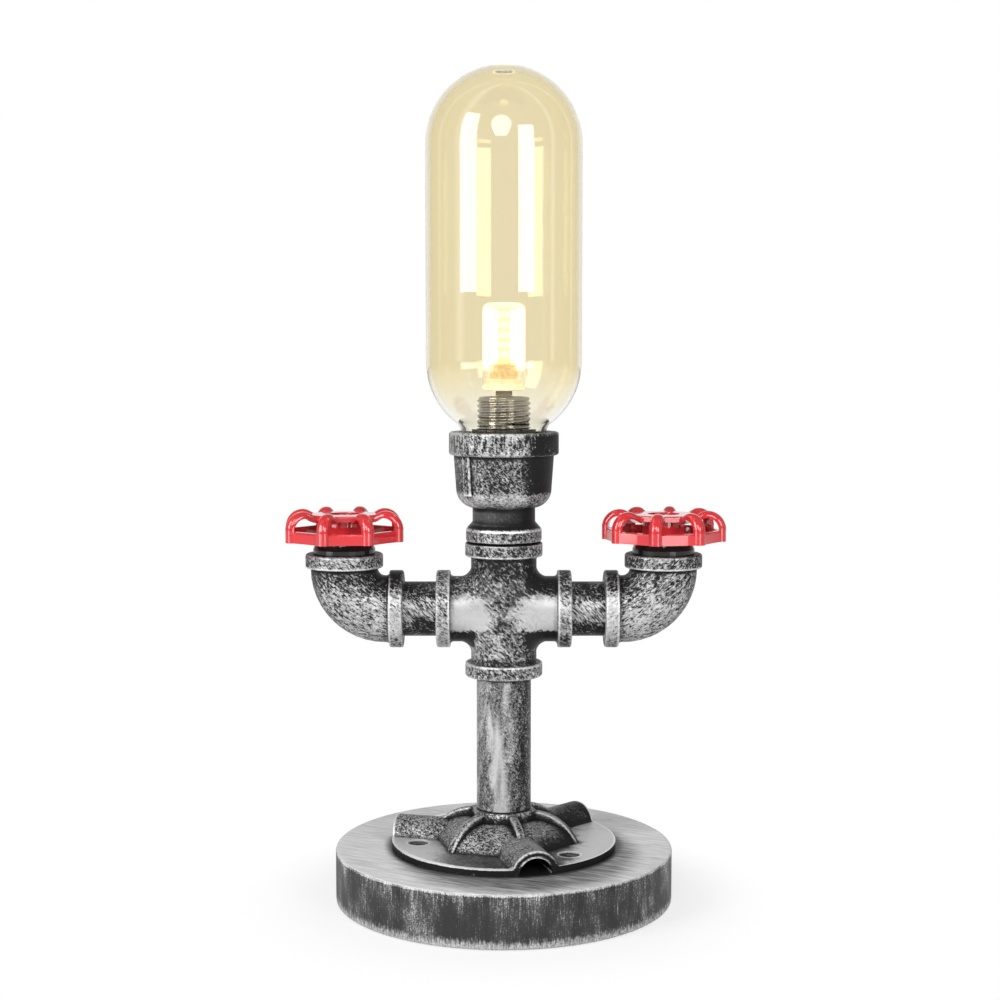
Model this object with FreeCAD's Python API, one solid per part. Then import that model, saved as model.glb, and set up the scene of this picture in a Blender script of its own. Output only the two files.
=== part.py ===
import FreeCAD, Part
import math
import os

# Industrial pipe table lamp: a round wooden base, a cast floor flange, black iron pipe and
# malleable fittings, two handwheels on plugged elbows, and a glass capsule over a G9 bulb.
# Millimetres. Z is up, the table is Z = 0, the lamp's axis is the Z axis and its front is -Y.

# ---- driving dimensions ---------------------------------------------------------------------

# Wooden base, with the wiring pocket let into its underside
BASE_DIAMETER = 132.4
BASE_HEIGHT = 21.0
BASE_EDGE_RADIUS = 0.9
BASE_STAND_OFF = 0.4
FELT_THICKNESS = 1.2
FELT_INSET = 4.0
COVER_DIAMETER = 46.0
COVER_THICKNESS = 2.0
POCKET_DIAMETER = 31.0
POCKET_DEPTH = 12.0
WIRE_HOLE_DIAMETER = 12.0
CORD_HOLE_DIAMETER = 9.4
CORD_HOLE_HEIGHT = 9.5
CORD_BUSH_BORE = 7.0
CORD_BUSH_LENGTH = 14.0
CORD_BUSH_FLANGE_DIAMETER = 13.0
CORD_BUSH_FLANGE_THICKNESS = 1.6
CORD_BUSH_SINK = 0.1
CORD_BUSH_CHAMFER = 0.6

# Floor flange: a round plate with a six-sided ribbed dome and three half-round cable outlets
FLANGE_DIAMETER = 88.2
FLANGE_PLATE_THICKNESS = 2.5
FLANGE_HEIGHT = 14.7
FLANGE_WALL = 3.4
DOME_HALF_WIDTH = 26.6
DOME_SHOULDER_HALF_WIDTH = 12.5
DOME_SHOULDER_HEIGHT = 11.2
DOME_BULGE = 2.8
HUB_CORNER_RADIUS = 13.7
HUB_EDGE_HEIGHT = 13.1
HUB_TOP_CORNER_RADIUS = 12.9
HUB_BOSS_DEPTH = 12.6
RIB_COUNT = 6
RIB_WIDTH = 3.2
RIB_EDGE_RADIUS = 0.9
RIB_START_ANGLE = -74.2
RIB_CREST = ((12.2, 14.4), (22.6, 11.2), (30.0, 2.6))
OUTLET_COUNT = 3
OUTLET_OUTER_RADIUS = 9.1
OUTLET_WALL = 2.6
OUTLET_BLEND_RADIUS = 1.3
FLANGE_SCREW_CIRCLE_RADIUS = 34.2
FLANGE_SCREW_ANGLES = (-43.0, 75.0, -168.5)
FLANGE_SCREW_HEAD_DIAMETER = 8.2
FLANGE_SCREW_SHANK_DIAMETER = 3.6
FLANGE_SCREW_LENGTH = 14.0
FLANGE_SCREW_SINK = 0.9

# Half-inch pipe and its screwed joints
PIPE_DIAMETER = 21.3
PIPE_WALL = 2.6
PIPE_ENGAGEMENT = 12.0
SOCKET_DEPTH = 12.6
RISER_VISIBLE_LENGTH = 53.0
NIPPLE_VISIBLE_LENGTH = 12.9
CLOSE_NIPPLE_VISIBLE_LENGTH = 0.3

# Malleable iron cross and elbows
FITTING_BODY_DIAMETER = 25.6
FITTING_BEAD_DIAMETER = 30.2
FITTING_BEAD_WIDTH = 5.4
FITTING_BEAD_EDGE_RADIUS = 0.9
FITTING_BEAD_BACK_RADIUS = 0.5
FITTING_COVE_RADIUS = 1.4
FITTING_COVE_SHARE = 0.8
FITTING_PASSAGE_DIAMETER = 16.4
CROSS_REACH = 26.3
CROSS_CROTCH_RADIUS = 4.6
CROSS_BLEND_UNDERCUT = 0.12
ELBOW_BODY_DIAMETER = 26.2
ELBOW_SIDE_REACH = 23.1
ELBOW_TOP_REACH = 21.8
ELBOW_BEND_RADIUS = 15.9

# Plug, spindle and handwheel at the end of each elbow
PLUG_HEIGHT = 5.2
PLUG_FOOT_DIAMETER = 24.2
PLUG_TOP_DIAMETER = 21.6
PLUG_ENGAGEMENT = 10.0
PLUG_EDGE_RADIUS = 1.2
SPINDLE_DIAMETER = 8.0
SPINDLE_SQUARE = 5.4
SPINDLE_TAIL = 2.4
CLIP_DIAMETER = 13.0
CLIP_THICKNESS = 0.8
CLIP_GROOVE_DIAMETER = 6.4
CLIP_MOUTH_WIDTH = 5.0
FRICTION_WASHER_DIAMETER = 15.0
FRICTION_WASHER_THICKNESS = 0.7
WHEEL_CORNER_RADIUS = 24.3
WHEEL_LOBES = 8
WHEEL_FLAT_HOLLOW = 0.7
WHEEL_RIM_HEIGHT = 4.3
WHEEL_RIM_INSET = 0.4
WHEEL_RIM_WALL = 2.5
WHEEL_RIM_EDGE_RADIUS = 0.7
WHEEL_RIB_WIDTH = 4.9
WHEEL_RIB_THICKNESS = 2.6
WHEEL_RIB_ROUNDING = 2.2
WHEEL_CREST_HEIGHT = 11.8
WHEEL_CREST_RADIUS = 17.2
WHEEL_NOSE_RADIUS = 4.0
WHEEL_NOSE_SLOPE = 25.0
WHEEL_RIB_ROOT = 2.0
WHEEL_PLATE_RADIUS = 13.8
WHEEL_PLATE_HEIGHT = 10.3
WHEEL_PLATE_THICKNESS = 2.2
WHEEL_PLATE_EDGE_RADIUS = 0.6
WHEEL_HUB_DIAMETER = 16.4
WHEEL_HUB_RECESS_DIAMETER = 12.4
WHEEL_HUB_RECESS_DEPTH = 3.6
WHEEL_HUB_BOTTOM = 0.8
WHEEL_HUB_TOP_DROP = 0.8
WHEEL_SCREW_DIAMETER = 4.0
WHEEL_SCREW_LENGTH = 9.0
WHEEL_SCREW_HEAD_DIAMETER = 7.4
WHEEL_SCREW_HEAD_HEIGHT = 2.3
WHEEL_WASHER_DIAMETER = 10.0
WHEEL_WASHER_THICKNESS = 0.8
LEFT_WHEEL_TURN = -61.3
RIGHT_WHEEL_TURN = -102.8

# Reducing socket, one inch over half an inch, with two casting ribs
REDUCER_LENGTH = 42.7
REDUCER_SMALL_BEAD_DIAMETER = 29.5
REDUCER_SMALL_BEAD_WIDTH = 4.9
REDUCER_FLARE_HEIGHT = 2.9
REDUCER_NECK_DIAMETER = 24.4
REDUCER_NECK_LENGTH = 5.5
REDUCER_SHOULDER_DIAMETER = 37.0
REDUCER_SHOULDER_HEIGHT = 19.6
REDUCER_BODY_TOP_DIAMETER = 39.0
REDUCER_LARGE_BEAD_DIAMETER = 42.7
REDUCER_LARGE_BEAD_WIDTH = 8.9
REDUCER_MOUTH_DIAMETER = 33.8
REDUCER_MOUTH_DEPTH = 13.0
REDUCER_CHAMBER_DIAMETER = 29.2
REDUCER_CHAMBER_HEIGHT = 21.5
REDUCER_PASSAGE_LENGTH = 1.2
REDUCER_MOUTH_CHAMFER = 0.9
REDUCER_RIB_WIDTH = 4.0
REDUCER_RIB_PROUD = 0.9
REDUCER_RIB_DEPTH = 2.5
REDUCER_RIB_EDGE_RADIUS = 0.6
REDUCER_RIB_OVERRUN = 1.0
REDUCER_RIB_ANGLES = (-137.0, 43.0)

# Lampholder in the mouth of the reducing socket
HOLDER_PLATE_THICKNESS = 1.5
HOLDER_SLEEVE_DIAMETER = 21.0
HOLDER_SLEEVE_WALL = 1.2
HOLDER_SLEEVE_EDGE_RADIUS = 0.5
HOLDER_SLEEVE_BELOW_PLATE = 9.0
HOLDER_SLEEVE_ABOVE_PLATE = 24.9
HOLDER_INSERT_SINK = 0.6
HOLDER_SLOT_DEPTH = 7.5
HOLDER_CONTACT_HEIGHT = 9.0
HOLDER_CONTACT_MARGIN = 0.8
HOLDER_LEAD_SOCKET_DEPTH = 8.0
LOWER_NUT_DIAMETER = 26.0
LOWER_NUT_HEIGHT = 4.0
SHADE_RING_DIAMETER = 24.8
SHADE_RING_HEIGHT = 13.2
SHADE_RING_NOTCHES = 6
SHADE_RING_NOTCH_WIDTH = 1.6
SHADE_RING_NOTCH_DEPTH = 2.0
GASKET_HEIGHT = 1.4

# Glass capsule shade
SHADE_RADIUS = 30.2
SHADE_WALL = 1.8
SHADE_TOTAL_HEIGHT = 150.0
SHADE_BOTTOM_CENTRE_HEIGHT = 37.2
SHADE_NECK_BLEND_RADIUS = 4.0
SHADE_VENT_DIAMETER = 7.0

# G9 bulb with a ring of light-emitting chips under a clear cover
BULB_DIAMETER = 16.6
BULB_COVER_WALL = 0.9
BULB_COVER_HEIGHT = 31.4
BULB_SHOULDER_RADIUS = 2.6
BULB_FOOT_GAP = 5.6
BULB_BASE_HEIGHT = 2.4
BULB_BASE_EDGE_RADIUS = 0.8
BULB_SPIGOT_HEIGHT = 2.0
BULB_KEY_THICKNESS = 6.4
BULB_KEY_WIDTH = 10.4
BULB_PIN_SPACING = 9.0
BULB_PIN_WIDTH = 2.6
BULB_PIN_THICKNESS = 0.8
BULB_PIN_LENGTH = 8.0
BOARD_SIDES = 6
BOARD_RADIUS = 4.9
BOARD_LENGTH = 26.5
CHIP_ROWS = 7
CHIP_WIDTH = 3.4
CHIP_HEIGHT = 2.2
CHIP_THICKNESS = 0.8

# Wiring
LEAD_DIAMETER = 2.4
LEAD_SPACING = 2.7
LEAD_SLEEVE_WALL = 0.5
LEAD_SLEEVE_CLEARANCE = 0.15
LEAD_BEND_HEIGHT = 8.0
LEAD_STRAIGHT_END = 0.5
LEAD_GRIP_LENGTH = 2.0
LEAD_SLEEVE_END_GAP = 3.0
TERMINAL_SPACING = 8.0
TERMINAL_BODY_DEPTH = 9.0
TERMINAL_BODY_WIDTH = 17.0
TERMINAL_BODY_HEIGHT = 10.0
TERMINAL_CORNER_RADIUS = 1.2
TERMINAL_NOTCH_WIDTH = 1.6
TERMINAL_NOTCH_DEPTH = 2.5
TERMINAL_TUBE_DIAMETER = 4.4
TERMINAL_TUBE_BORE = 2.8
TERMINAL_TUBE_END_GAP = 1.0
TERMINAL_SCREW_DIAMETER = 2.5
TERMINAL_SCREW_SINK = 0.5
TERMINAL_SCREW_SLOT_DEPTH = 0.6
TERMINAL_SCREW_SLOT_WIDTH = 0.5
COVER_SCREW_COUNT = 3
COVER_SCREW_START_ANGLE = 30.0
COVER_SCREW_HEAD_DIAMETER = 5.0
COVER_SCREW_SHANK_DIAMETER = 2.6
COVER_SCREW_LENGTH = 9.0
COUNTERSUNK_EDGE = 0.3
COUNTERSUNK_HOLE_RISE = 3.0
SCREW_TIP_RATIO = 0.8
SCREW_TIP_RADIUS = 0.2
SLOT_WIDTH = 0.9

# Fits
THREAD_CLEARANCE = 0.05
SCREW_CLEARANCE = 0.05
RUNNING_CLEARANCE = 0.06
SEAT_GAP = 0.1
LOOSE_CLEARANCE = 0.2
SHADE_CLEARANCE = 0.3
SHADE_SEAT_GAP = 0.2

# ---- heights and places that follow ---------------------------------------------------------

COVER_BOTTOM = FELT_THICKNESS
COVER_TOP = COVER_BOTTOM + COVER_THICKNESS
POCKET_TOP = COVER_TOP + POCKET_DEPTH
FLANGE_TOP = BASE_HEIGHT + FLANGE_HEIGHT
CROSS_CENTRE = FLANGE_TOP + RISER_VISIBLE_LENGTH + CROSS_REACH
CROSS_TOP = CROSS_CENTRE + CROSS_REACH
ELBOW_OFFSET = CROSS_REACH + NIPPLE_VISIBLE_LENGTH + ELBOW_SIDE_REACH
ELBOW_MOUTH = CROSS_CENTRE + ELBOW_TOP_REACH
PLUG_TOP = ELBOW_MOUTH + PLUG_HEIGHT
PLUG_BOTTOM = ELBOW_MOUTH - PLUG_ENGAGEMENT
HUB_BOTTOM = PLUG_TOP + FRICTION_WASHER_THICKNESS + SEAT_GAP
WHEEL_BOTTOM = HUB_BOTTOM - WHEEL_HUB_BOTTOM
REDUCER_BOTTOM = CROSS_TOP + CLOSE_NIPPLE_VISIBLE_LENGTH
REDUCER_TOP = REDUCER_BOTTOM + REDUCER_LENGTH
PLATE_BOTTOM = REDUCER_TOP - REDUCER_MOUTH_DEPTH
PLATE_TOP = PLATE_BOTTOM + HOLDER_PLATE_THICKNESS
SLEEVE_BOTTOM = PLATE_BOTTOM - HOLDER_SLEEVE_BELOW_PLATE
SLEEVE_TOP = PLATE_TOP + HOLDER_SLEEVE_ABOVE_PLATE
INSERT_TOP = SLEEVE_TOP - HOLDER_INSERT_SINK
SLOT_FLOOR = INSERT_TOP - HOLDER_SLOT_DEPTH
SHADE_BOTTOM = PLATE_TOP + GASKET_HEIGHT + SHADE_SEAT_GAP
SHADE_TOP = SHADE_BOTTOM + SHADE_TOTAL_HEIGHT
BULB_FOOT = INSERT_TOP + BULB_FOOT_GAP
LEAD_TOP = SLEEVE_BOTTOM + HOLDER_LEAD_SOCKET_DEPTH
PIPE_RADIUS = PIPE_DIAMETER / 2
THREAD_RADIUS = PIPE_RADIUS + THREAD_CLEARANCE
NECK_RADIUS = REDUCER_MOUTH_DIAMETER / 2 - SHADE_CLEARANCE

UP = FreeCAD.Vector(0, 0, 1)
BACK = FreeCAD.Vector(0, 1, 0)
RIGHT = FreeCAD.Vector(1, 0, 0)
PARTS = {}


# ---- building blocks ------------------------------------------------------------------------

def point(x, y, z):
    return FreeCAD.Vector(x, y, z)


def outline(start, steps):
    """Face in the XZ plane. A step is a corner (x, z), or an arc's middle and end."""
    edges = []
    first = point(start[0], 0, start[1])
    here = first
    for step in steps:
        if isinstance(step[0], tuple):
            middle, end = step
            there = point(end[0], 0, end[1])
            edges.append(Part.Arc(here, point(middle[0], 0, middle[1]), there).toShape())
        else:
            there = point(step[0], 0, step[1])
            edges.append(Part.LineSegment(here, there).toShape())
        here = there
    if here.distanceToPoint(first) > 1e-6:
        edges.append(Part.LineSegment(here, first).toShape())
    return Part.Face(Part.Wire(edges))


def turned(start, steps):
    """Solid of revolution about the Z axis."""
    return outline(start, steps).revolve(point(0, 0, 0), UP, 360)


def rod(radius, bottom, top, x=0.0, y=0.0):
    return Part.makeCylinder(radius, top - bottom, point(x, y, bottom))


def tube(outer, inner, bottom, top):
    return rod(outer, bottom, top).cut(rod(inner, bottom, top))


def cone(low_radius, high_radius, bottom, top, x=0.0, y=0.0):
    return Part.makeCone(low_radius, high_radius, top - bottom, point(x, y, bottom))


def block(width, depth, bottom, top, x=0.0, y=0.0):
    return Part.makeBox(width, depth, top - bottom, point(x - width / 2, y - depth / 2, bottom))


def join(shapes):
    whole = shapes[0]
    for shape in shapes[1:]:
        whole = whole.fuse(shape)
    return whole.removeSplitter()


def spun(shape, angle):
    """Copy of a shape turned about the Z axis."""
    copy = shape.copy()
    copy.rotate(point(0, 0, 0), UP, angle)
    return copy


def ring_of(shape, count, start_angle):
    """Copies of a shape evenly spaced round the Z axis."""
    return [spun(shape, start_angle + 360.0 * i / count) for i in range(count)]


def aimed(shape, direction, origin):
    """Copy of a shape made along +Z, laid along a direction from an origin."""
    copy = shape.copy()
    copy.Placement = FreeCAD.Placement(origin, FreeCAD.Rotation(UP, direction))
    return copy


def moved(shape, x=0.0, y=0.0, z=0.0):
    copy = shape.copy()
    copy.translate(point(x, y, z))
    return copy


def polygon_wire(corner_radius, sides, height, first_angle=0.0):
    corners = []
    for i in range(sides + 1):
        angle = math.radians(first_angle + 360.0 * i / sides)
        corners.append(point(corner_radius * math.cos(angle), corner_radius * math.sin(angle), height))
    return Part.makePolygon(corners)


def polygon(corner_radius, sides, bottom, top, first_angle=0.0):
    """Upright prism with its first corner at first_angle."""
    face = Part.Face(polygon_wire(corner_radius, sides, bottom, first_angle))
    return face.extrude(point(0, 0, top - bottom))


def round_circles(solid, radius, places):
    """Fillet the full circles about Z that lie at the given (radius, height) places."""
    picked = []
    for edge in solid.Edges:
        box = edge.BoundBox
        for place_radius, height in places:
            flat = abs(box.ZMin - height) < 0.01 and abs(box.ZMax - height) < 0.01
            if flat and abs(box.XMax - place_radius) < 0.01 and abs(box.XMin + place_radius) < 0.01:
                picked.append(edge)
    return solid.makeFillet(radius, picked)


def add(name, shape):
    PARTS[name] = shape


# ---- base -----------------------------------------------------------------------------------

def cover_screw_place():
    """Radius of the circle on which the cover's screws stand."""
    return (POCKET_DIAMETER + COVER_DIAMETER) / 4


def countersunk_screw(head_diameter, shank_diameter, length):
    """Screw pointing down from its head's face at Z = 0, with a slot across the head."""
    head = head_diameter / 2
    shank = shank_diameter / 2
    edge = -COUNTERSUNK_EDGE
    tip = shank_diameter * SCREW_TIP_RATIO
    screw = turned((0, 0), [(head, 0), (head, edge), (shank, edge - (head - shank)),
                            (shank, tip - length), (SCREW_TIP_RADIUS, -length), (0, -length)])
    return screw.cut(block(head_diameter, SLOT_WIDTH, -SLOT_WIDTH, SLOT_WIDTH))


def countersunk_hole(head_diameter, shank_diameter, depth):
    """Room for a countersunk screw whose head's face is at Z = 0."""
    head = head_diameter / 2 + SCREW_CLEARANCE
    shank = shank_diameter / 2 + SCREW_CLEARANCE
    edge = -COUNTERSUNK_EDGE
    rise = COUNTERSUNK_HOLE_RISE
    return turned((0, rise), [(head, rise), (head, edge), (shank, edge - (head - shank)), (shank, -depth),
                              (0, -depth)])


def at_circle(shape, circle_radius, angle, height):
    return spun(moved(shape, circle_radius, 0, height), angle)


def cover_screw_angles():
    return [COVER_SCREW_START_ANGLE + 360.0 * i / COVER_SCREW_COUNT for i in range(COVER_SCREW_COUNT)]


def base_disc():
    radius = BASE_DIAMETER / 2
    disc = rod(radius, BASE_STAND_OFF, BASE_HEIGHT)
    disc = round_circles(disc, BASE_EDGE_RADIUS, [(radius, BASE_STAND_OFF), (radius, BASE_HEIGHT)])
    disc = disc.cut(rod(radius - FELT_INSET + LOOSE_CLEARANCE, BASE_STAND_OFF, FELT_THICKNESS))
    disc = disc.cut(rod(COVER_DIAMETER / 2 + LOOSE_CLEARANCE, FELT_THICKNESS, COVER_TOP))
    disc = disc.cut(rod(POCKET_DIAMETER / 2, COVER_TOP, POCKET_TOP))
    disc = disc.cut(rod(WIRE_HOLE_DIAMETER / 2, POCKET_TOP, BASE_HEIGHT))
    cord_hole = rod(CORD_HOLE_DIAMETER / 2, 0, radius)
    disc = disc.cut(aimed(cord_hole, BACK, point(0, 0, CORD_HOLE_HEIGHT)))
    counterbore = rod(CORD_BUSH_FLANGE_DIAMETER / 2 + LOOSE_CLEARANCE,
                      bush_face() - CORD_BUSH_FLANGE_THICKNESS, radius)
    disc = disc.cut(aimed(counterbore, BACK, point(0, 0, CORD_HOLE_HEIGHT)))
    hole = countersunk_hole(FLANGE_SCREW_HEAD_DIAMETER, FLANGE_SCREW_SHANK_DIAMETER, FLANGE_SCREW_LENGTH)
    for angle in FLANGE_SCREW_ANGLES:
        disc = disc.cut(at_circle(hole, FLANGE_SCREW_CIRCLE_RADIUS, angle, flange_screw_face()))
    pilot = rod(COVER_SCREW_SHANK_DIAMETER / 2 + SCREW_CLEARANCE, 0, COVER_SCREW_LENGTH)
    for angle in cover_screw_angles():
        disc = disc.cut(at_circle(pilot, cover_screw_place(), angle, COVER_BOTTOM))
    return disc


def bush_face():
    """Distance of the cord bush's outer face from the lamp's axis, just inside the rim."""
    radius = BASE_DIAMETER / 2
    half_width = CORD_BUSH_FLANGE_DIAMETER / 2
    return math.sqrt(radius ** 2 - half_width ** 2) - CORD_BUSH_SINK


def cord_bush():
    """Flanged plastic bush that lines the cord's hole in the back of the base."""
    bore = CORD_BUSH_BORE / 2
    barrel = CORD_HOLE_DIAMETER / 2 - SCREW_CLEARANCE
    flange = CORD_BUSH_FLANGE_DIAMETER / 2
    face = bush_face()
    seat = face - CORD_BUSH_FLANGE_THICKNESS
    chamfer = CORD_BUSH_CHAMFER
    bush = turned((bore, face - CORD_BUSH_LENGTH),
                  [(barrel, face - CORD_BUSH_LENGTH), (barrel, seat), (flange, seat),
                   (flange, face - chamfer), (flange - chamfer, face), (bore + chamfer, face),
                   (bore, face - chamfer)])
    return aimed(bush, BACK, point(0, 0, CORD_HOLE_HEIGHT))


def base_cover():
    cover = rod(COVER_DIAMETER / 2, COVER_BOTTOM, COVER_TOP)
    hole = countersunk_hole(COVER_SCREW_HEAD_DIAMETER, COVER_SCREW_SHANK_DIAMETER, COVER_SCREW_LENGTH)
    hole.rotate(point(0, 0, 0), RIGHT, 180)
    for angle in cover_screw_angles():
        cover = cover.cut(at_circle(hole, cover_screw_place(), angle, COVER_BOTTOM))
    return cover


def build_base():
    add("base_disc", base_disc())
    add("felt_pad", rod(BASE_DIAMETER / 2 - FELT_INSET, 0, FELT_THICKNESS))
    add("base_cover", base_cover())
    add("cord_bush", cord_bush())
    screw = countersunk_screw(COVER_SCREW_HEAD_DIAMETER, COVER_SCREW_SHANK_DIAMETER, COVER_SCREW_LENGTH)
    screw.rotate(point(0, 0, 0), RIGHT, 180)
    screws = [at_circle(screw, cover_screw_place(), angle, COVER_BOTTOM) for angle in cover_screw_angles()]
    add("cover_screws", Part.makeCompound(screws))


# ---- wiring ---------------------------------------------------------------------------------

def terminal_side(side):
    """Y of one pole of the terminal block."""
    return side * TERMINAL_SPACING / 2


def terminal_block():
    top = COVER_TOP + TERMINAL_BODY_HEIGHT
    body = block(TERMINAL_BODY_DEPTH, TERMINAL_BODY_WIDTH, COVER_TOP, top)
    body = body.makeFillet(TERMINAL_CORNER_RADIUS, [edge for edge in body.Edges if edge.BoundBox.ZLength > 1])
    body = body.cut(block(TERMINAL_BODY_DEPTH, TERMINAL_NOTCH_WIDTH, top - TERMINAL_NOTCH_DEPTH, top))
    for side in (-1, 1):
        y = terminal_side(side)
        body = body.cut(rod(TERMINAL_TUBE_DIAMETER / 2, COVER_TOP, top, 0, y))
        screw_hole = rod(TERMINAL_SCREW_DIAMETER / 2 + SCREW_CLEARANCE, 0, TERMINAL_BODY_DEPTH)
        body = body.cut(aimed(screw_hole, RIGHT, point(0, y, COVER_TOP + TERMINAL_BODY_HEIGHT / 2)))
    return body


def terminal_tubes():
    bottom = COVER_TOP + TERMINAL_TUBE_END_GAP
    top = COVER_TOP + TERMINAL_BODY_HEIGHT - TERMINAL_TUBE_END_GAP
    tubes = []
    for side in (-1, 1):
        y = terminal_side(side)
        brass = rod(TERMINAL_TUBE_DIAMETER / 2, bottom, top, 0, y)
        brass = brass.cut(rod(TERMINAL_TUBE_BORE / 2, bottom, top, 0, y))
        screw_hole = rod(TERMINAL_SCREW_DIAMETER / 2 + SCREW_CLEARANCE, 0, TERMINAL_BODY_DEPTH)
        tubes.append(brass.cut(aimed(screw_hole, RIGHT, point(0, y, COVER_TOP + TERMINAL_BODY_HEIGHT / 2))))
    return Part.makeCompound(tubes)


def terminal_screws():
    """Grub screws that press each lead against the wall of its brass tube."""
    screws = []
    face = TERMINAL_BODY_DEPTH / 2 - TERMINAL_SCREW_SINK
    for side in (-1, 1):
        screw = rod(TERMINAL_SCREW_DIAMETER / 2, LEAD_DIAMETER / 2, face)
        screw = screw.cut(block(TERMINAL_SCREW_SLOT_WIDTH, TERMINAL_SCREW_DIAMETER,
                                face - TERMINAL_SCREW_SLOT_DEPTH, face))
        place = point(0, terminal_side(side), COVER_TOP + TERMINAL_BODY_HEIGHT / 2)
        screws.append(aimed(screw, RIGHT, place))
    return Part.makeCompound(screws)


def lead(side):
    """One insulated wire from its terminal up the riser to the lampholder."""
    inner_y = side * LEAD_SPACING / 2
    outer_y = terminal_side(side)
    bottom = COVER_TOP + TERMINAL_BODY_HEIGHT / 2 - LEAD_GRIP_LENGTH
    bend_start = COVER_TOP + TERMINAL_BODY_HEIGHT + LEAD_STRAIGHT_END
    bend_end = bend_start + LEAD_BEND_HEIGHT
    shift = abs(outer_y - inner_y)
    bend_radius = (shift ** 2 + LEAD_BEND_HEIGHT ** 2) / (4 * shift)
    half = math.asin(LEAD_BEND_HEIGHT / 2 / bend_radius) / 2
    rise = bend_radius * math.sin(half)
    drift = bend_radius * (1 - math.cos(half))
    middle = point(0, (inner_y + outer_y) / 2, (bend_start + bend_end) / 2)
    path = Part.Wire([
        Part.LineSegment(point(0, outer_y, bottom), point(0, outer_y, bend_start)).toShape(),
        Part.Arc(point(0, outer_y, bend_start), point(0, outer_y - side * drift, bend_start + rise),
                 middle).toShape(),
        Part.Arc(middle, point(0, inner_y + side * drift, bend_end - rise),
                 point(0, inner_y, bend_end)).toShape(),
        Part.LineSegment(point(0, inner_y, bend_end), point(0, inner_y, LEAD_TOP)).toShape()])
    section = Part.Wire(Part.makeCircle(LEAD_DIAMETER / 2, point(0, outer_y, bottom), UP))
    return path.makePipeShell([section], True, False)


def sleeve_inner_radius():
    return (LEAD_SPACING + LEAD_DIAMETER) / 2 + LEAD_SLEEVE_CLEARANCE


def build_wiring():
    add("terminal_block", terminal_block())
    add("terminal_tubes", terminal_tubes())
    add("terminal_screws", terminal_screws())
    add("live_lead", lead(1))
    add("neutral_lead", lead(-1))
    inner = sleeve_inner_radius()
    bottom = COVER_TOP + TERMINAL_BODY_HEIGHT + LEAD_BEND_HEIGHT + LEAD_SLEEVE_END_GAP
    add("lead_sleeve", tube(inner + LEAD_SLEEVE_WALL, inner, bottom, SLEEVE_BOTTOM - LEAD_SLEEVE_END_GAP))


# ---- floor flange ---------------------------------------------------------------------------

def flange_screw_face():
    """Height of the flange screws' heads, just under the plate's top face."""
    return BASE_HEIGHT + FLANGE_PLATE_THICKNESS - FLANGE_SCREW_SINK


def arch_profile(half_width, shoulder_half_width, inset=0.0):
    """Symmetric dome profile in the XZ plane, inset inwards for the hollow underneath."""
    foot = half_width - inset
    shoulder = shoulder_half_width - inset
    low = BASE_HEIGHT
    high = BASE_HEIGHT + DOME_SHOULDER_HEIGHT - inset
    run = half_width - shoulder_half_width
    length = math.hypot(run, DOME_SHOULDER_HEIGHT)
    middle_x = (foot + shoulder) / 2 + DOME_BULGE * DOME_SHOULDER_HEIGHT / length
    middle_z = (low + high) / 2 + DOME_BULGE * run / length
    return outline((-foot, low), [(foot, low), ((middle_x, middle_z), (shoulder, high)), (-shoulder, high),
                                  ((-middle_x, middle_z), (-foot, low))])


def flange_dome(inset=0.0):
    """Six-sided dome, the common part of three arched vaults that cross."""
    dome = None
    for i in range(RIB_COUNT // 2):
        vault = arch_profile(DOME_HALF_WIDTH, DOME_SHOULDER_HALF_WIDTH, inset)
        vault = moved(vault, 0, -FLANGE_DIAMETER / 2).extrude(point(0, FLANGE_DIAMETER, 0))
        vault = spun(vault, RIB_START_ANGLE + 180.0 / RIB_COUNT + i * 360.0 / RIB_COUNT)
        if dome is None:
            dome = vault
        else:
            dome = dome.common(vault)
    return dome


def flange_rib():
    """Arched rib along one hip of the dome, from the hub down to the plate."""
    (top_x, top_z), (middle_x, middle_z), (foot_x, foot_z) = RIB_CREST
    low = FLANGE_PLATE_THICKNESS / 2
    profile = outline((top_x, BASE_HEIGHT + low), [
        (foot_x, BASE_HEIGHT + low), (foot_x, BASE_HEIGHT + foot_z),
        ((middle_x, BASE_HEIGHT + middle_z), (top_x, BASE_HEIGHT + top_z))])
    rib = moved(profile, 0, -RIB_WIDTH / 2).extrude(point(0, RIB_WIDTH, 0))
    crest = []
    for edge in rib.Edges:
        box = edge.BoundBox
        if box.YLength < 0.01 and box.XLength > 1 and box.ZLength > 1:
            crest.append(edge)
    return rib.makeFillet(RIB_EDGE_RADIUS, crest)


def outlet_arch():
    """Half-round outlet along +X whose foot flows into the plate on both sides."""
    radius = OUTLET_OUTER_RADIUS
    blend = OUTLET_BLEND_RADIUS
    thick = FLANGE_PLATE_THICKNESS
    reach = radius + blend
    across = math.sqrt(reach ** 2 - (thick + blend) ** 2)
    meet = (across * radius / reach, (thick + blend) * radius / reach)
    slope = math.atan2(thick + blend, across)
    blend_angle = (math.pi + slope + 1.5 * math.pi) / 2
    bend = (across + blend * math.cos(blend_angle), thick + blend + blend * math.sin(blend_angle))
    base = BASE_HEIGHT
    section = outline((-across, base), [
        (across, base), (across, base + thick),
        ((bend[0], base + bend[1]), (meet[0], base + meet[1])),
        ((0, base + radius), (-meet[0], base + meet[1])),
        ((-bend[0], base + bend[1]), (-across, base + thick))])
    start = DOME_SHOULDER_HALF_WIDTH
    arch = moved(section, 0, start).extrude(point(0, FLANGE_DIAMETER / 2, 0))
    return spun(arch, -90)


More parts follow.
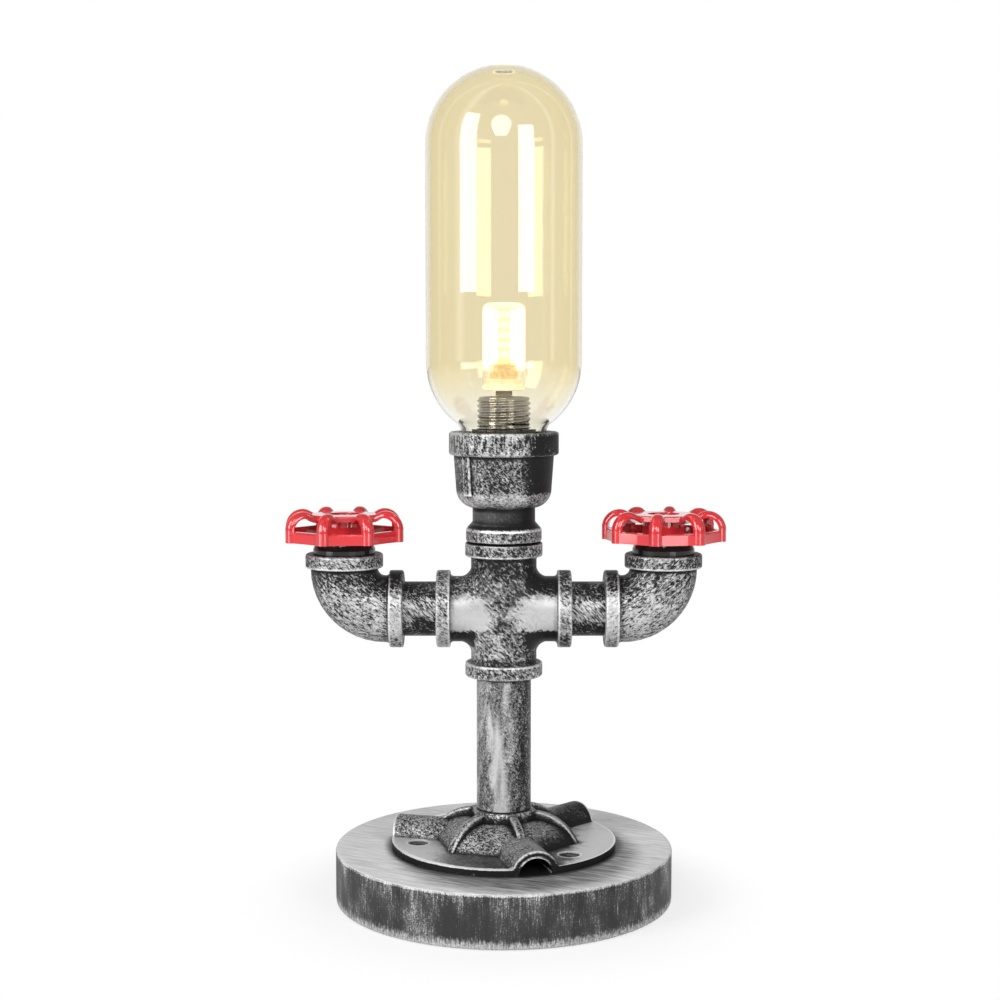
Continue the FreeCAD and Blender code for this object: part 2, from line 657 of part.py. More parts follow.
def flange_plate():
    """Round plate with the three half-round outlets blended into it."""
    radius = FLANGE_DIAMETER / 2
    plate = rod(radius, BASE_HEIGHT, BASE_HEIGHT + FLANGE_PLATE_THICKNESS)
    room = rod(radius, BASE_HEIGHT, FLANGE_TOP)
    arches = [arch.common(room) for arch in ring_of(outlet_arch(), OUTLET_COUNT, RIB_START_ANGLE)]
    return join([plate] + arches)


def hub_ring():
    """Six-sided hub that the pipe screws into, bevelled towards the pipe."""
    edge = BASE_HEIGHT + HUB_EDGE_HEIGHT
    low = polygon(HUB_CORNER_RADIUS, RIB_COUNT, BASE_HEIGHT + FLANGE_PLATE_THICKNESS, edge, RIB_START_ANGLE)
    rings = [polygon_wire(HUB_CORNER_RADIUS, RIB_COUNT, edge, RIB_START_ANGLE),
             polygon_wire(HUB_TOP_CORNER_RADIUS, RIB_COUNT, FLANGE_TOP, RIB_START_ANGLE)]
    return low.fuse(Part.makeLoft(rings, True, True))


def floor_flange():
    shapes = [flange_plate(), flange_dome(), hub_ring()] + ring_of(flange_rib(), RIB_COUNT, RIB_START_ANGLE)
    flange = join(shapes)
    hollow = flange_dome(FLANGE_WALL)
    hollow = hollow.cut(rod(PIPE_RADIUS + FLANGE_WALL, FLANGE_TOP - HUB_BOSS_DEPTH, FLANGE_TOP))
    flange = flange.cut(hollow)
    flange = flange.cut(rod(FITTING_PASSAGE_DIAMETER / 2, BASE_HEIGHT, FLANGE_TOP))
    flange = flange.cut(rod(THREAD_RADIUS, FLANGE_TOP - HUB_BOSS_DEPTH, FLANGE_TOP))
    start = PIPE_RADIUS + FLANGE_WALL
    tunnel = Part.makeCylinder(OUTLET_OUTER_RADIUS - OUTLET_WALL, FLANGE_DIAMETER,
                               point(start, 0, BASE_HEIGHT), RIGHT)
    for cutter in ring_of(tunnel, OUTLET_COUNT, RIB_START_ANGLE):
        flange = flange.cut(cutter)
    hole = countersunk_hole(FLANGE_SCREW_HEAD_DIAMETER, FLANGE_SCREW_SHANK_DIAMETER, FLANGE_SCREW_LENGTH)
    for angle in FLANGE_SCREW_ANGLES:
        flange = flange.cut(at_circle(hole, FLANGE_SCREW_CIRCLE_RADIUS, angle, flange_screw_face()))
    return flange


def build_flange():
    add("floor_flange", floor_flange())
    screw = countersunk_screw(FLANGE_SCREW_HEAD_DIAMETER, FLANGE_SCREW_SHANK_DIAMETER, FLANGE_SCREW_LENGTH)
    screws = [at_circle(screw, FLANGE_SCREW_CIRCLE_RADIUS, angle, flange_screw_face())
              for angle in FLANGE_SCREW_ANGLES]
    add("flange_screws", Part.makeCompound(screws))


# ---- pipe and fittings ----------------------------------------------------------------------

def pipe(visible_length):
    """Screwed pipe along +Z whose visible stretch starts at Z = 0."""
    return tube(PIPE_RADIUS, PIPE_RADIUS - PIPE_WALL, -PIPE_ENGAGEMENT, visible_length + PIPE_ENGAGEMENT)


def fitting_arm(body_diameter, reach):
    """One arm of a fitting along +Z, from the centre to its beaded face, with a cove behind the bead."""
    bead = FITTING_BEAD_DIAMETER / 2
    body = body_diameter / 2
    back = reach - FITTING_BEAD_WIDTH
    cove = min(FITTING_COVE_RADIUS, back * FITTING_COVE_SHARE)
    inset = cove * (1 - math.cos(math.radians(45)))
    arm = turned((0, 0), [
        (body, 0), (body, back - cove), ((body + inset, back - inset), (body + cove, back)),
        (bead, back), (bead, reach), (0, reach)])
    arm = round_circles(arm, FITTING_BEAD_BACK_RADIUS, [(bead, back)])
    return round_circles(arm, FITTING_BEAD_EDGE_RADIUS, [(bead, reach)])


def fitting_bore(reach):
    """Screw thread and wire passage of one arm along +Z."""
    thread = rod(THREAD_RADIUS, reach - SOCKET_DEPTH, reach)
    return thread.fuse(rod(FITTING_PASSAGE_DIAMETER / 2, 0, reach))


def quarter_bend(radius, bend_radius, inward):
    """Quarter of a round bar bent from straight up to the inward side (+1 or -1 along X)."""
    circle = Part.Face(Part.Wire(Part.makeCircle(radius, point(0, 0, bend_radius), UP)))
    return circle.revolve(point(inward * bend_radius, 0, bend_radius), BACK, -90.0 * inward)


def pipe_cross():
    directions = [point(1, 0, 0), point(-1, 0, 0), point(0, 0, 1), point(0, 0, -1)]
    here = point(0, 0, 0)
    body = join([aimed(fitting_arm(FITTING_BODY_DIAMETER, CROSS_REACH), way, here) for way in directions])
    bend_radius = FITTING_BODY_DIAMETER / 2 + CROSS_CROTCH_RADIUS
    bend = quarter_bend(FITTING_BODY_DIAMETER / 2 - CROSS_BLEND_UNDERCUT, bend_radius, 1)
    for i in range(4):
        corner = bend.copy()
        corner.rotate(here, BACK, 90.0 * i)
        body = body.fuse(corner)
    for way in directions:
        body = body.cut(aimed(fitting_bore(CROSS_REACH), way, here))
    return moved(body, 0, 0, CROSS_CENTRE)


def elbow(inward):
    """Elbow open at the top and towards the cross; inward is +1 on the left, -1 on the right."""
    here = point(0, 0, 0)
    side = point(inward, 0, 0)
    start = point(inward * ELBOW_BEND_RADIUS, 0, 0)
    top_arm = fitting_arm(ELBOW_BODY_DIAMETER, ELBOW_TOP_REACH - ELBOW_BEND_RADIUS)
    side_arm = fitting_arm(ELBOW_BODY_DIAMETER, ELBOW_SIDE_REACH - ELBOW_BEND_RADIUS)
    body = join([quarter_bend(ELBOW_BODY_DIAMETER / 2, ELBOW_BEND_RADIUS, inward),
                 moved(top_arm, 0, 0, ELBOW_BEND_RADIUS), aimed(side_arm, side, start)])
    body = body.cut(quarter_bend(FITTING_PASSAGE_DIAMETER / 2, ELBOW_BEND_RADIUS, inward))
    body = body.cut(rod(FITTING_PASSAGE_DIAMETER / 2, ELBOW_BEND_RADIUS, ELBOW_TOP_REACH))
    body = body.cut(rod(THREAD_RADIUS, ELBOW_TOP_REACH - SOCKET_DEPTH, ELBOW_TOP_REACH))
    side_passage = rod(FITTING_PASSAGE_DIAMETER / 2, ELBOW_BEND_RADIUS, ELBOW_SIDE_REACH)
    side_thread = rod(THREAD_RADIUS, ELBOW_SIDE_REACH - SOCKET_DEPTH, ELBOW_SIDE_REACH)
    body = body.cut(aimed(side_passage, side, here))
    body = body.cut(aimed(side_thread, side, here))
    return moved(body, -inward * ELBOW_OFFSET, 0, CROSS_CENTRE)


def build_pipework():
    add("riser_pipe", moved(pipe(RISER_VISIBLE_LENGTH), 0, 0, FLANGE_TOP))
    add("pipe_cross", pipe_cross())
    add("close_nipple", moved(pipe(CLOSE_NIPPLE_VISIBLE_LENGTH), 0, 0, CROSS_TOP))
    for name, inward in (("left", 1), ("right", -1)):
        start = point(-inward * CROSS_REACH, 0, CROSS_CENTRE)
        add(name + "_nipple", aimed(pipe(NIPPLE_VISIBLE_LENGTH), point(-inward, 0, 0), start))
        add(name + "_elbow", elbow(inward))


# ---- plugs, spindles and handwheels ---------------------------------------------------------

def plug():
    """Screwed plug that closes the elbow and guides the spindle; Z = 0 is the elbow's mouth."""
    bore = SPINDLE_DIAMETER / 2 + RUNNING_CLEARANCE
    foot = PLUG_FOOT_DIAMETER / 2
    top = PLUG_TOP_DIAMETER / 2
    solid = turned((bore, -PLUG_ENGAGEMENT), [
        (PIPE_RADIUS, -PLUG_ENGAGEMENT), (PIPE_RADIUS, 0), (foot, 0), (foot, PLUG_HEIGHT * 0.35),
        (top, PLUG_HEIGHT), (bore, PLUG_HEIGHT)])
    return round_circles(solid, PLUG_EDGE_RADIUS, [(top, PLUG_HEIGHT)])


def spindle():
    """Turned spindle: clip groove, round journal, and a square that drives the wheel."""
    radius = SPINDLE_DIAMETER / 2
    groove = CLIP_GROOVE_DIAMETER / 2
    clip_top = PLUG_BOTTOM - SEAT_GAP
    clip_bottom = clip_top - CLIP_THICKNESS
    shaft = turned((0, clip_bottom - SPINDLE_TAIL), [
        (radius, clip_bottom - SPINDLE_TAIL), (radius, clip_bottom), (groove, clip_bottom),
        (groove, clip_top), (radius, clip_top), (radius, HUB_BOTTOM), (0, HUB_BOTTOM)])
    square_top = wheel_seat_height() - LOOSE_CLEARANCE
    square = block(SPINDLE_SQUARE, SPINDLE_SQUARE, HUB_BOTTOM, square_top)
    hole = rod(WHEEL_SCREW_DIAMETER / 2 + SCREW_CLEARANCE, square_top - WHEEL_SCREW_LENGTH, square_top)
    return shaft.fuse(square).removeSplitter().cut(hole)


def spindle_clip():
    """Open retaining ring under the plug."""
    top = PLUG_BOTTOM - SEAT_GAP
    bottom = top - CLIP_THICKNESS
    ring = tube(CLIP_DIAMETER / 2, CLIP_GROOVE_DIAMETER / 2, bottom, top)
    return ring.cut(block(CLIP_DIAMETER, CLIP_MOUTH_WIDTH, bottom, top, CLIP_DIAMETER / 2))


def wheel_seat_height():
    """Height of the recess floor in the wheel's hub, where the washer sits."""
    return WHEEL_BOTTOM + WHEEL_PLATE_HEIGHT - WHEEL_HUB_RECESS_DEPTH


def scalloped(corner_radius, hollow, bottom, top):
    """Upright prism with slightly hollow flats between its corners."""
    edges = []
    step = 2 * math.pi / WHEEL_LOBES
    middle_radius = corner_radius * math.cos(step / 2) - hollow
    for i in range(WHEEL_LOBES):
        angles = (i * step, (i + 0.5) * step, (i + 1) * step)
        radii = (corner_radius, middle_radius, corner_radius)
        places = [point(r * math.cos(a), r * math.sin(a), bottom) for r, a in zip(radii, angles)]
        edges.append(Part.Arc(*places).toShape())
    return Part.Face(Part.Wire(edges)).extrude(point(0, 0, top - bottom))


def wheel_rim():
    """Band round the foot of the wheel, with its outer top edge rounded."""
    corner_radius = WHEEL_CORNER_RADIUS - WHEEL_RIM_INSET
    outer = scalloped(corner_radius, WHEEL_FLAT_HOLLOW, 0, WHEEL_RIM_HEIGHT)
    top_edges = [edge for edge in outer.Edges if edge.BoundBox.ZMin > WHEEL_RIM_HEIGHT - 0.01]
    outer = outer.makeFillet(WHEEL_RIM_EDGE_RADIUS, top_edges)
    inner = scalloped(corner_radius - WHEEL_RIM_WALL, WHEEL_FLAT_HOLLOW, 0, WHEEL_RIM_HEIGHT)
    return outer.cut(inner)


def wheel_rib():
    """Rib that rises from a corner of the rim, arches over and drops to the top plate."""
    half_thick = WHEEL_RIB_THICKNESS / 2
    half_wide = WHEEL_RIB_WIDTH / 2
    bend = WHEEL_CORNER_RADIUS - WHEEL_CREST_RADIUS
    knee = WHEEL_CREST_HEIGHT - bend
    x = WHEEL_CORNER_RADIUS - half_thick
    corner = WHEEL_RIB_ROUNDING
    inset = corner * (1 - math.cos(math.radians(45)))
    section = outline((x - half_thick, -half_wide), [
        (x + half_thick - corner, -half_wide),
        ((x + half_thick - inset, -half_wide + inset), (x + half_thick, -half_wide + corner)),
        (x + half_thick, half_wide - corner),
        ((x + half_thick - inset, half_wide - inset), (x + half_thick - corner, half_wide)),
        (x - half_thick, half_wide)])
    section.rotate(point(0, 0, 0), RIGHT, -90)

    def on_arc(centre_height, radius, degrees):
        angle = math.radians(degrees)
        return point(WHEEL_CREST_RADIUS + radius * math.cos(angle), 0,
                     centre_height + radius * math.sin(angle))

    rise = bend - half_thick
    nose_centre = knee + rise - WHEEL_NOSE_RADIUS
    foot = point(x, 0, 0)
    shoulder = on_arc(knee, rise, 0)
    crest = on_arc(knee, rise, 90)
    brow = on_arc(nose_centre, WHEEL_NOSE_RADIUS, 90 + WHEEL_NOSE_SLOPE)
    run = (brow.x - WHEEL_PLATE_RADIUS + WHEEL_RIB_ROOT) / math.cos(math.radians(WHEEL_NOSE_SLOPE))
    root = point(brow.x - run * math.cos(math.radians(WHEEL_NOSE_SLOPE)), 0,
                 brow.z - run * math.sin(math.radians(WHEEL_NOSE_SLOPE)))
    path = Part.Wire([
        Part.LineSegment(foot, shoulder).toShape(),
        Part.Arc(shoulder, on_arc(knee, rise, 45), crest).toShape(),
        Part.Arc(crest, on_arc(nose_centre, WHEEL_NOSE_RADIUS, 90 + WHEEL_NOSE_SLOPE / 2), brow).toShape(),
        Part.LineSegment(brow, root).toShape()])
    return path.makePipeShell([section.OuterWire], True, False)


def handwheel():
    """Eight-lobed handwheel with its foot at Z = 0 and a lobe on the X axis."""
    plate_bottom = WHEEL_PLATE_HEIGHT - WHEEL_PLATE_THICKNESS
    plate = polygon(WHEEL_PLATE_RADIUS, WHEEL_LOBES, plate_bottom, WHEEL_PLATE_HEIGHT)
    top_edges = [edge for edge in plate.Edges if edge.BoundBox.ZMin > WHEEL_PLATE_HEIGHT - 0.01]
    plate = plate.makeFillet(WHEEL_PLATE_EDGE_RADIUS, top_edges)
    hub = rod(WHEEL_HUB_DIAMETER / 2, WHEEL_HUB_BOTTOM, WHEEL_PLATE_HEIGHT - WHEEL_HUB_TOP_DROP)
    wheel = join([wheel_rim(), plate, hub] + ring_of(wheel_rib(), WHEEL_LOBES, 0))
    recess_floor = WHEEL_PLATE_HEIGHT - WHEEL_HUB_RECESS_DEPTH
    wheel = wheel.cut(rod(WHEEL_HUB_RECESS_DIAMETER / 2, recess_floor, WHEEL_CREST_HEIGHT))
    hole = SPINDLE_SQUARE + 2 * SCREW_CLEARANCE
    return wheel.cut(block(hole, hole, 0, WHEEL_CREST_HEIGHT))


def wheel_screw():
    """Pan-head screw with a cross recess; Z = 0 is under its head."""
    head = WHEEL_SCREW_HEAD_DIAMETER / 2
    shank = WHEEL_SCREW_DIAMETER / 2
    high = WHEEL_SCREW_HEAD_HEIGHT
    length = WHEEL_SCREW_LENGTH - LOOSE_CLEARANCE - WHEEL_WASHER_THICKNESS
    screw = turned((0, -length), [(shank, -length), (shank, 0), (head, 0), (head, high * 0.3),
                                  ((head * 0.72, high * 0.87), (0, high))])
    for angle in (0, 90):
        screw = screw.cut(spun(block(head * 1.1, SLOT_WIDTH, high * 0.4, high + SLOT_WIDTH), angle))
    return screw


def build_wheels():
    seat = wheel_seat_height()
    for name, side, turn in (("left", -1, LEFT_WHEEL_TURN), ("right", 1, RIGHT_WHEEL_TURN)):
        x = side * ELBOW_OFFSET
        add(name + "_plug", moved(plug(), x, 0, ELBOW_MOUTH))
        washer = tube(FRICTION_WASHER_DIAMETER / 2, SPINDLE_DIAMETER / 2 + LOOSE_CLEARANCE,
                      PLUG_TOP, PLUG_TOP + FRICTION_WASHER_THICKNESS)
        add(name + "_friction_washer", moved(washer, x))
        add(name + "_spindle", moved(spun(spindle(), turn), x))
        add(name + "_spindle_clip", moved(spun(spindle_clip(), turn), x))
        add(name + "_handwheel", moved(spun(handwheel(), turn), x, 0, WHEEL_BOTTOM))
        washer = tube(WHEEL_WASHER_DIAMETER / 2, WHEEL_SCREW_DIAMETER / 2 + SCREW_CLEARANCE,
                      seat, seat + WHEEL_WASHER_THICKNESS)
        add(name + "_wheel_washer", moved(washer, x))
        add(name + "_wheel_screw", moved(spun(wheel_screw(), turn), x, 0, seat + WHEEL_WASHER_THICKNESS))


# ---- reducing socket and lampholder ---------------------------------------------------------

def reducer_rib():
    """Rib on the +X side that follows the body's taper from the shoulder to the large bead."""
    low = REDUCER_SHOULDER_DIAMETER / 2 + REDUCER_RIB_PROUD
    high = REDUCER_BODY_TOP_DIAMETER / 2 + REDUCER_RIB_PROUD
    bottom = REDUCER_SHOULDER_HEIGHT - REDUCER_RIB_OVERRUN
    top = REDUCER_LENGTH - REDUCER_LARGE_BEAD_WIDTH + REDUCER_RIB_OVERRUN
    depth = REDUCER_RIB_DEPTH
    side = outline((low, bottom), [(high, top), (high - depth, top), (low - depth, bottom)])
    rib = moved(side, 0, -REDUCER_RIB_WIDTH / 2).extrude(point(0, REDUCER_RIB_WIDTH, 0))
    outer_edges = [edge for edge in rib.Edges
                   if edge.BoundBox.ZLength > 1 and edge.BoundBox.XMin > low - 0.1]
    return rib.makeFillet(REDUCER_RIB_EDGE_RADIUS, outer_edges)


def reducing_socket():
    bead = REDUCER_SMALL_BEAD_DIAMETER / 2
    neck = REDUCER_NECK_DIAMETER / 2
    neck_bottom = REDUCER_SMALL_BEAD_WIDTH + REDUCER_FLARE_HEIGHT
    neck_top = neck_bottom + REDUCER_NECK_LENGTH
    shoulder = REDUCER_SHOULDER_DIAMETER / 2
    body_top = REDUCER_BODY_TOP_DIAMETER / 2
    large = REDUCER_LARGE_BEAD_DIAMETER / 2
    bead_bottom = REDUCER_LENGTH - REDUCER_LARGE_BEAD_WIDTH
    bulge = (neck + (shoulder - neck) * 0.72, neck_top + (REDUCER_SHOULDER_HEIGHT - neck_top) * 0.38)
    body = turned((0, 0), [
        (bead, 0), (bead, REDUCER_SMALL_BEAD_WIDTH), (neck, neck_bottom), (neck, neck_top),
        (bulge, (shoulder, REDUCER_SHOULDER_HEIGHT)), (body_top, bead_bottom), (large, bead_bottom),
        (large, REDUCER_LENGTH), (0, REDUCER_LENGTH)])
    body = round_circles(body, FITTING_BEAD_EDGE_RADIUS, [
        (bead, 0), (bead, REDUCER_SMALL_BEAD_WIDTH), (large, bead_bottom), (large, REDUCER_LENGTH)])
    for angle in REDUCER_RIB_ANGLES:
        body = body.fuse(spun(reducer_rib(), angle))
    thread_end = SOCKET_DEPTH
    passage = FITTING_PASSAGE_DIAMETER / 2
    chamber = REDUCER_CHAMBER_DIAMETER / 2
    mouth = REDUCER_MOUTH_DIAMETER / 2
    mouth_floor = REDUCER_LENGTH - REDUCER_MOUTH_DEPTH
    chamfer = REDUCER_MOUTH_CHAMFER
    bore = turned((0, 0), [
        (THREAD_RADIUS, 0), (THREAD_RADIUS, thread_end), (passage, thread_end),
        (passage, thread_end + REDUCER_PASSAGE_LENGTH), (chamber, REDUCER_CHAMBER_HEIGHT),
        (chamber, mouth_floor), (mouth, mouth_floor), (mouth, REDUCER_LENGTH - chamfer),
        (mouth + chamfer, REDUCER_LENGTH), (0, REDUCER_LENGTH)])
    return moved(body.cut(bore), 0, 0, REDUCER_BOTTOM)


def holder_insert():
    """Ceramic core of the lampholder: bulb slot, contact wells and lead sockets."""
    core = rod(insert_radius(), SLEEVE_BOTTOM, INSERT_TOP)
    slot = block(BULB_KEY_THICKNESS + 2 * LOOSE_CLEARANCE, BULB_KEY_WIDTH + 2 * LOOSE_CLEARANCE,
                 SLOT_FLOOR, INSERT_TOP)
    core = core.cut(slot)
    for side in (-1, 1):
        y = side * BULB_PIN_SPACING / 2
        core = core.cut(block(contact_width(), contact_depth(), SLOT_FLOOR - HOLDER_CONTACT_HEIGHT,
                              SLOT_FLOOR, 0, y))
        core = core.cut(rod(LEAD_DIAMETER / 2 + SCREW_CLEARANCE, SLEEVE_BOTTOM, LEAD_TOP,
                            0, side * LEAD_SPACING / 2))
    return core


def insert_radius():
    return HOLDER_SLEEVE_DIAMETER / 2 - HOLDER_SLEEVE_WALL - SCREW_CLEARANCE


def contact_width():
    """Size along X of a contact, which grips the broad side of a pin."""
    return BULB_PIN_WIDTH + 2 * HOLDER_CONTACT_MARGIN


def contact_depth():
    """Size along Y of a contact."""
    return BULB_PIN_THICKNESS + 2 * HOLDER_CONTACT_MARGIN


def holder_contacts():
    """Two spring clips, each with a slit for one pin of the bulb."""
    clips = []
    for side in (-1, 1):
        y = side * BULB_PIN_SPACING / 2
        bottom = SLOT_FLOOR - HOLDER_CONTACT_HEIGHT
        clip = block(contact_width(), contact_depth(), bottom, SLOT_FLOOR, 0, y)
        slit = block(BULB_PIN_WIDTH + 2 * SEAT_GAP, BULB_PIN_THICKNESS + 2 * SEAT_GAP,
                     SLOT_FLOOR - BULB_PIN_LENGTH - SEAT_GAP, SLOT_FLOOR, 0, y)
        clips.append(clip.cut(slit))
    return Part.makeCompound(clips)


def lower_nut():
    """Hexagonal nut that pulls the sleeve down on to the plate."""
    bottom = PLATE_BOTTOM - LOWER_NUT_HEIGHT
    nut = polygon(LOWER_NUT_DIAMETER / 2, 6, bottom, PLATE_BOTTOM)
    return nut.cut(rod(HOLDER_SLEEVE_DIAMETER / 2 + THREAD_CLEARANCE, bottom, PLATE_BOTTOM))


def shade_ring():
    """Tall ring nut above the plate, with grip notches round its top."""
    bore = HOLDER_SLEEVE_DIAMETER / 2 + THREAD_CLEARANCE
    top = PLATE_TOP + SHADE_RING_HEIGHT
    ring = tube(SHADE_RING_DIAMETER / 2, bore, PLATE_TOP, top)
    width = SHADE_RING_NOTCH_WIDTH
    notch = block(width, width, top - SHADE_RING_NOTCH_DEPTH, top, SHADE_RING_DIAMETER / 2)
    for cutter in ring_of(notch, SHADE_RING_NOTCHES, 0):
        ring = ring.cut(cutter)
    return ring


def build_lampholder():
    add("reducing_socket", reducing_socket())
    plate = tube(REDUCER_MOUTH_DIAMETER / 2 - SEAT_GAP, HOLDER_SLEEVE_DIAMETER / 2 + THREAD_CLEARANCE,
                 PLATE_BOTTOM, PLATE_TOP)
    add("holder_plate", plate)
    sleeve = tube(HOLDER_SLEEVE_DIAMETER / 2, HOLDER_SLEEVE_DIAMETER / 2 - HOLDER_SLEEVE_WALL,
                  SLEEVE_BOTTOM, SLEEVE_TOP)
    sleeve = round_circles(sleeve, HOLDER_SLEEVE_EDGE_RADIUS, [(HOLDER_SLEEVE_DIAMETER / 2, SLEEVE_TOP)])
    add("holder_sleeve", sleeve)
    add("holder_insert", holder_insert())
    add("holder_contacts", holder_contacts())
    add("lower_ring_nut", lower_nut())
    add("shade_ring", shade_ring())
    gasket = tube(REDUCER_MOUTH_DIAMETER / 2 - SEAT_GAP, NECK_RADIUS - SHADE_WALL,
                  PLATE_TOP, PLATE_TOP + GASKET_HEIGHT)
    add("shade_gasket", gasket)


# ---- glass shade ----------------------------------------------------------------------------

def capsule(radius, neck_radius, blend_radius):
    """Solid capsule on a straight neck; the glass is the difference of two of them."""
    low_centre = SHADE_BOTTOM + SHADE_BOTTOM_CENTRE_HEIGHT
    high_centre = SHADE_TOP - SHADE_RADIUS
    reach = radius + blend_radius
    across = neck_radius + blend_radius
    blend_centre = low_centre - math.sqrt(reach ** 2 - across ** 2)
    meet_angle = math.acos(across / reach)
    meet = (radius * math.cos(meet_angle), low_centre - radius * math.sin(meet_angle))
    blend_angle = (math.pi - meet_angle + math.pi) / 2
    blend_middle = (across + blend_radius * math.cos(blend_angle),
                    blend_centre + blend_radius * math.sin(blend_angle))
    bowl_angle = meet_angle / 2
    bowl_middle = (radius * math.cos(bowl_angle), low_centre - radius * math.sin(bowl_angle))
    diagonal = radius * math.cos(math.radians(45))
    return turned((0, SHADE_BOTTOM), [
        (neck_radius, SHADE_BOTTOM), (neck_radius, blend_centre), (blend_middle, meet),
        (bowl_middle, (radius, low_centre)), (radius, high_centre),
        ((diagonal, high_centre + diagonal), (0, high_centre + radius))])


def build_shade():
    outside = capsule(SHADE_RADIUS, NECK_RADIUS, SHADE_NECK_BLEND_RADIUS)
    inside = capsule(SHADE_RADIUS - SHADE_WALL, NECK_RADIUS - SHADE_WALL,
                     SHADE_NECK_BLEND_RADIUS + SHADE_WALL)
    shell = outside.cut(inside)
    vent = rod(SHADE_VENT_DIAMETER / 2, SHADE_TOP - SHADE_RADIUS, SHADE_TOP)
    add("glass_shade", shell.cut(vent))


# ---- bulb -----------------------------------------------------------------------------------

def bulb_cover():
    radius = BULB_DIAMETER / 2
    top = BULB_FOOT + BULB_COVER_HEIGHT
    wall = BULB_COVER_WALL
    outside = rod(radius, BULB_FOOT, top)
    outside = round_circles(outside, BULB_SHOULDER_RADIUS, [(radius, top)])
    inside = rod(radius - wall, BULB_FOOT, top - wall)
    inside = round_circles(inside, BULB_SHOULDER_RADIUS - wall, [(radius - wall, top - wall)])
    return outside.cut(inside)


def bulb_base():
    """Base of the bulb: a foot that carries the cover and a flat key that enters the holder."""
    foot = rod(BULB_DIAMETER / 2, BULB_FOOT - BULB_BASE_HEIGHT, BULB_FOOT)
    foot = round_circles(foot, BULB_BASE_EDGE_RADIUS, [(BULB_DIAMETER / 2, BULB_FOOT - BULB_BASE_HEIGHT)])
    spigot = rod(BULB_DIAMETER / 2 - BULB_COVER_WALL - SCREW_CLEARANCE, BULB_FOOT, board_bottom())
    key = block(BULB_KEY_THICKNESS, BULB_KEY_WIDTH, SLOT_FLOOR + SEAT_GAP, BULB_FOOT - BULB_BASE_HEIGHT)
    return join([foot, spigot, key])


def board_bottom():
    return BULB_FOOT + BULB_SPIGOT_HEIGHT


def bulb_pins():
    """Two flat wire loops with round ends."""
    pins = []
    for side in (-1, 1):
        y = side * BULB_PIN_SPACING / 2
        bottom = SLOT_FLOOR - BULB_PIN_LENGTH + SEAT_GAP
        pin = block(BULB_PIN_WIDTH, BULB_PIN_THICKNESS, bottom, SLOT_FLOOR + SEAT_GAP, 0, y)
        low_edges = [edge for edge in pin.Edges
                     if edge.BoundBox.ZMax < bottom + 0.01 and edge.BoundBox.YLength > 0.1]
        pins.append(pin.makeFillet(BULB_PIN_WIDTH * 0.45, low_edges))
    return Part.makeCompound(pins)


def led_board():
    return polygon(BOARD_RADIUS, BOARD_SIDES, board_bottom(), board_bottom() + BOARD_LENGTH, 0)


def led_chips():
    """Rows of chips on every side of the board."""
    apothem = BOARD_RADIUS * math.cos(math.pi / BOARD_SIDES)
    pitch = BOARD_LENGTH / CHIP_ROWS
    chips = []
    for side in range(BOARD_SIDES):
        for row in range(CHIP_ROWS):
            middle = board_bottom() + pitch * (row + 0.5)
            chip = block(CHIP_THICKNESS, CHIP_WIDTH, middle - CHIP_HEIGHT / 2, middle + CHIP_HEIGHT / 2,
                         apothem + CHIP_THICKNESS / 2)
            chips.append(spun(chip, 360.0 * (side + 0.5) / BOARD_SIDES))
    return Part.makeCompound(chips)


def build_bulb():
    add("bulb_cover", bulb_cover())
    add("bulb_base", bulb_base())
    add("bulb_pins", bulb_pins())
    add("led_board", led_board())
    add("led_chips", led_chips())


# ---- all of it ------------------------------------------------------------------------------

build_base()
build_wiring()
build_flange()
build_pipework()
build_wheels()
build_lampholder()
build_shade()
build_bulb()

os.makedirs("parts", exist_ok=True)
for node, shape in PARTS.items():
    shape.exportStep("parts/" + node + ".step")
    solids = shape.Solids
    print(node, len(solids), "solid(s), volume", round(sum(solid.Volume for solid in solids), 1),
          "valid", shape.isValid())
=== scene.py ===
"""Looks of an industrial pipe table lamp: antiqued iron fittings, a painted wooden base, red
enamelled handwheels and a lit bulb under a champagne glass capsule. Metres, +Z up, front -Y."""
import math

import bpy
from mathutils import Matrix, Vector


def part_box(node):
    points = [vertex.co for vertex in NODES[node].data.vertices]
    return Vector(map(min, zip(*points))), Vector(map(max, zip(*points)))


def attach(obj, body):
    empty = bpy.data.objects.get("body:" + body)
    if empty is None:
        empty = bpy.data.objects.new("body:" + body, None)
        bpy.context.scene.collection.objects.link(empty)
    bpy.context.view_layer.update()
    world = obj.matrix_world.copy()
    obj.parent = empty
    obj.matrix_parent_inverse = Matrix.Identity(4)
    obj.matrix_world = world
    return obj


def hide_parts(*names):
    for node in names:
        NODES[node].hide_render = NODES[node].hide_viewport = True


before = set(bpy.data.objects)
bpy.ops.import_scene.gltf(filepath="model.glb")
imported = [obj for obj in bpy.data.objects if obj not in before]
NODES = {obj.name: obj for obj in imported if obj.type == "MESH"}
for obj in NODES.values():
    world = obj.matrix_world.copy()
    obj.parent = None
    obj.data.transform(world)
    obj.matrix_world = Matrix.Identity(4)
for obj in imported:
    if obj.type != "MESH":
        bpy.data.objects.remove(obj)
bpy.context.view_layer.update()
MM = 0.001

# ---- places read from the frame -------------------------------------------------------------

_, base_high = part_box("base_disc")
_, flange_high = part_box("floor_flange")
cross_low, cross_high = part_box("pipe_cross")
socket_low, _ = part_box("reducing_socket")
sleeve_low, sleeve_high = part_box("holder_sleeve")
board_low, board_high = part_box("led_board")
shade_low, shade_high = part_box("glass_shade")
foot_low, foot_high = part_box("bulb_base")
elbow_low, elbow_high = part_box("right_elbow")

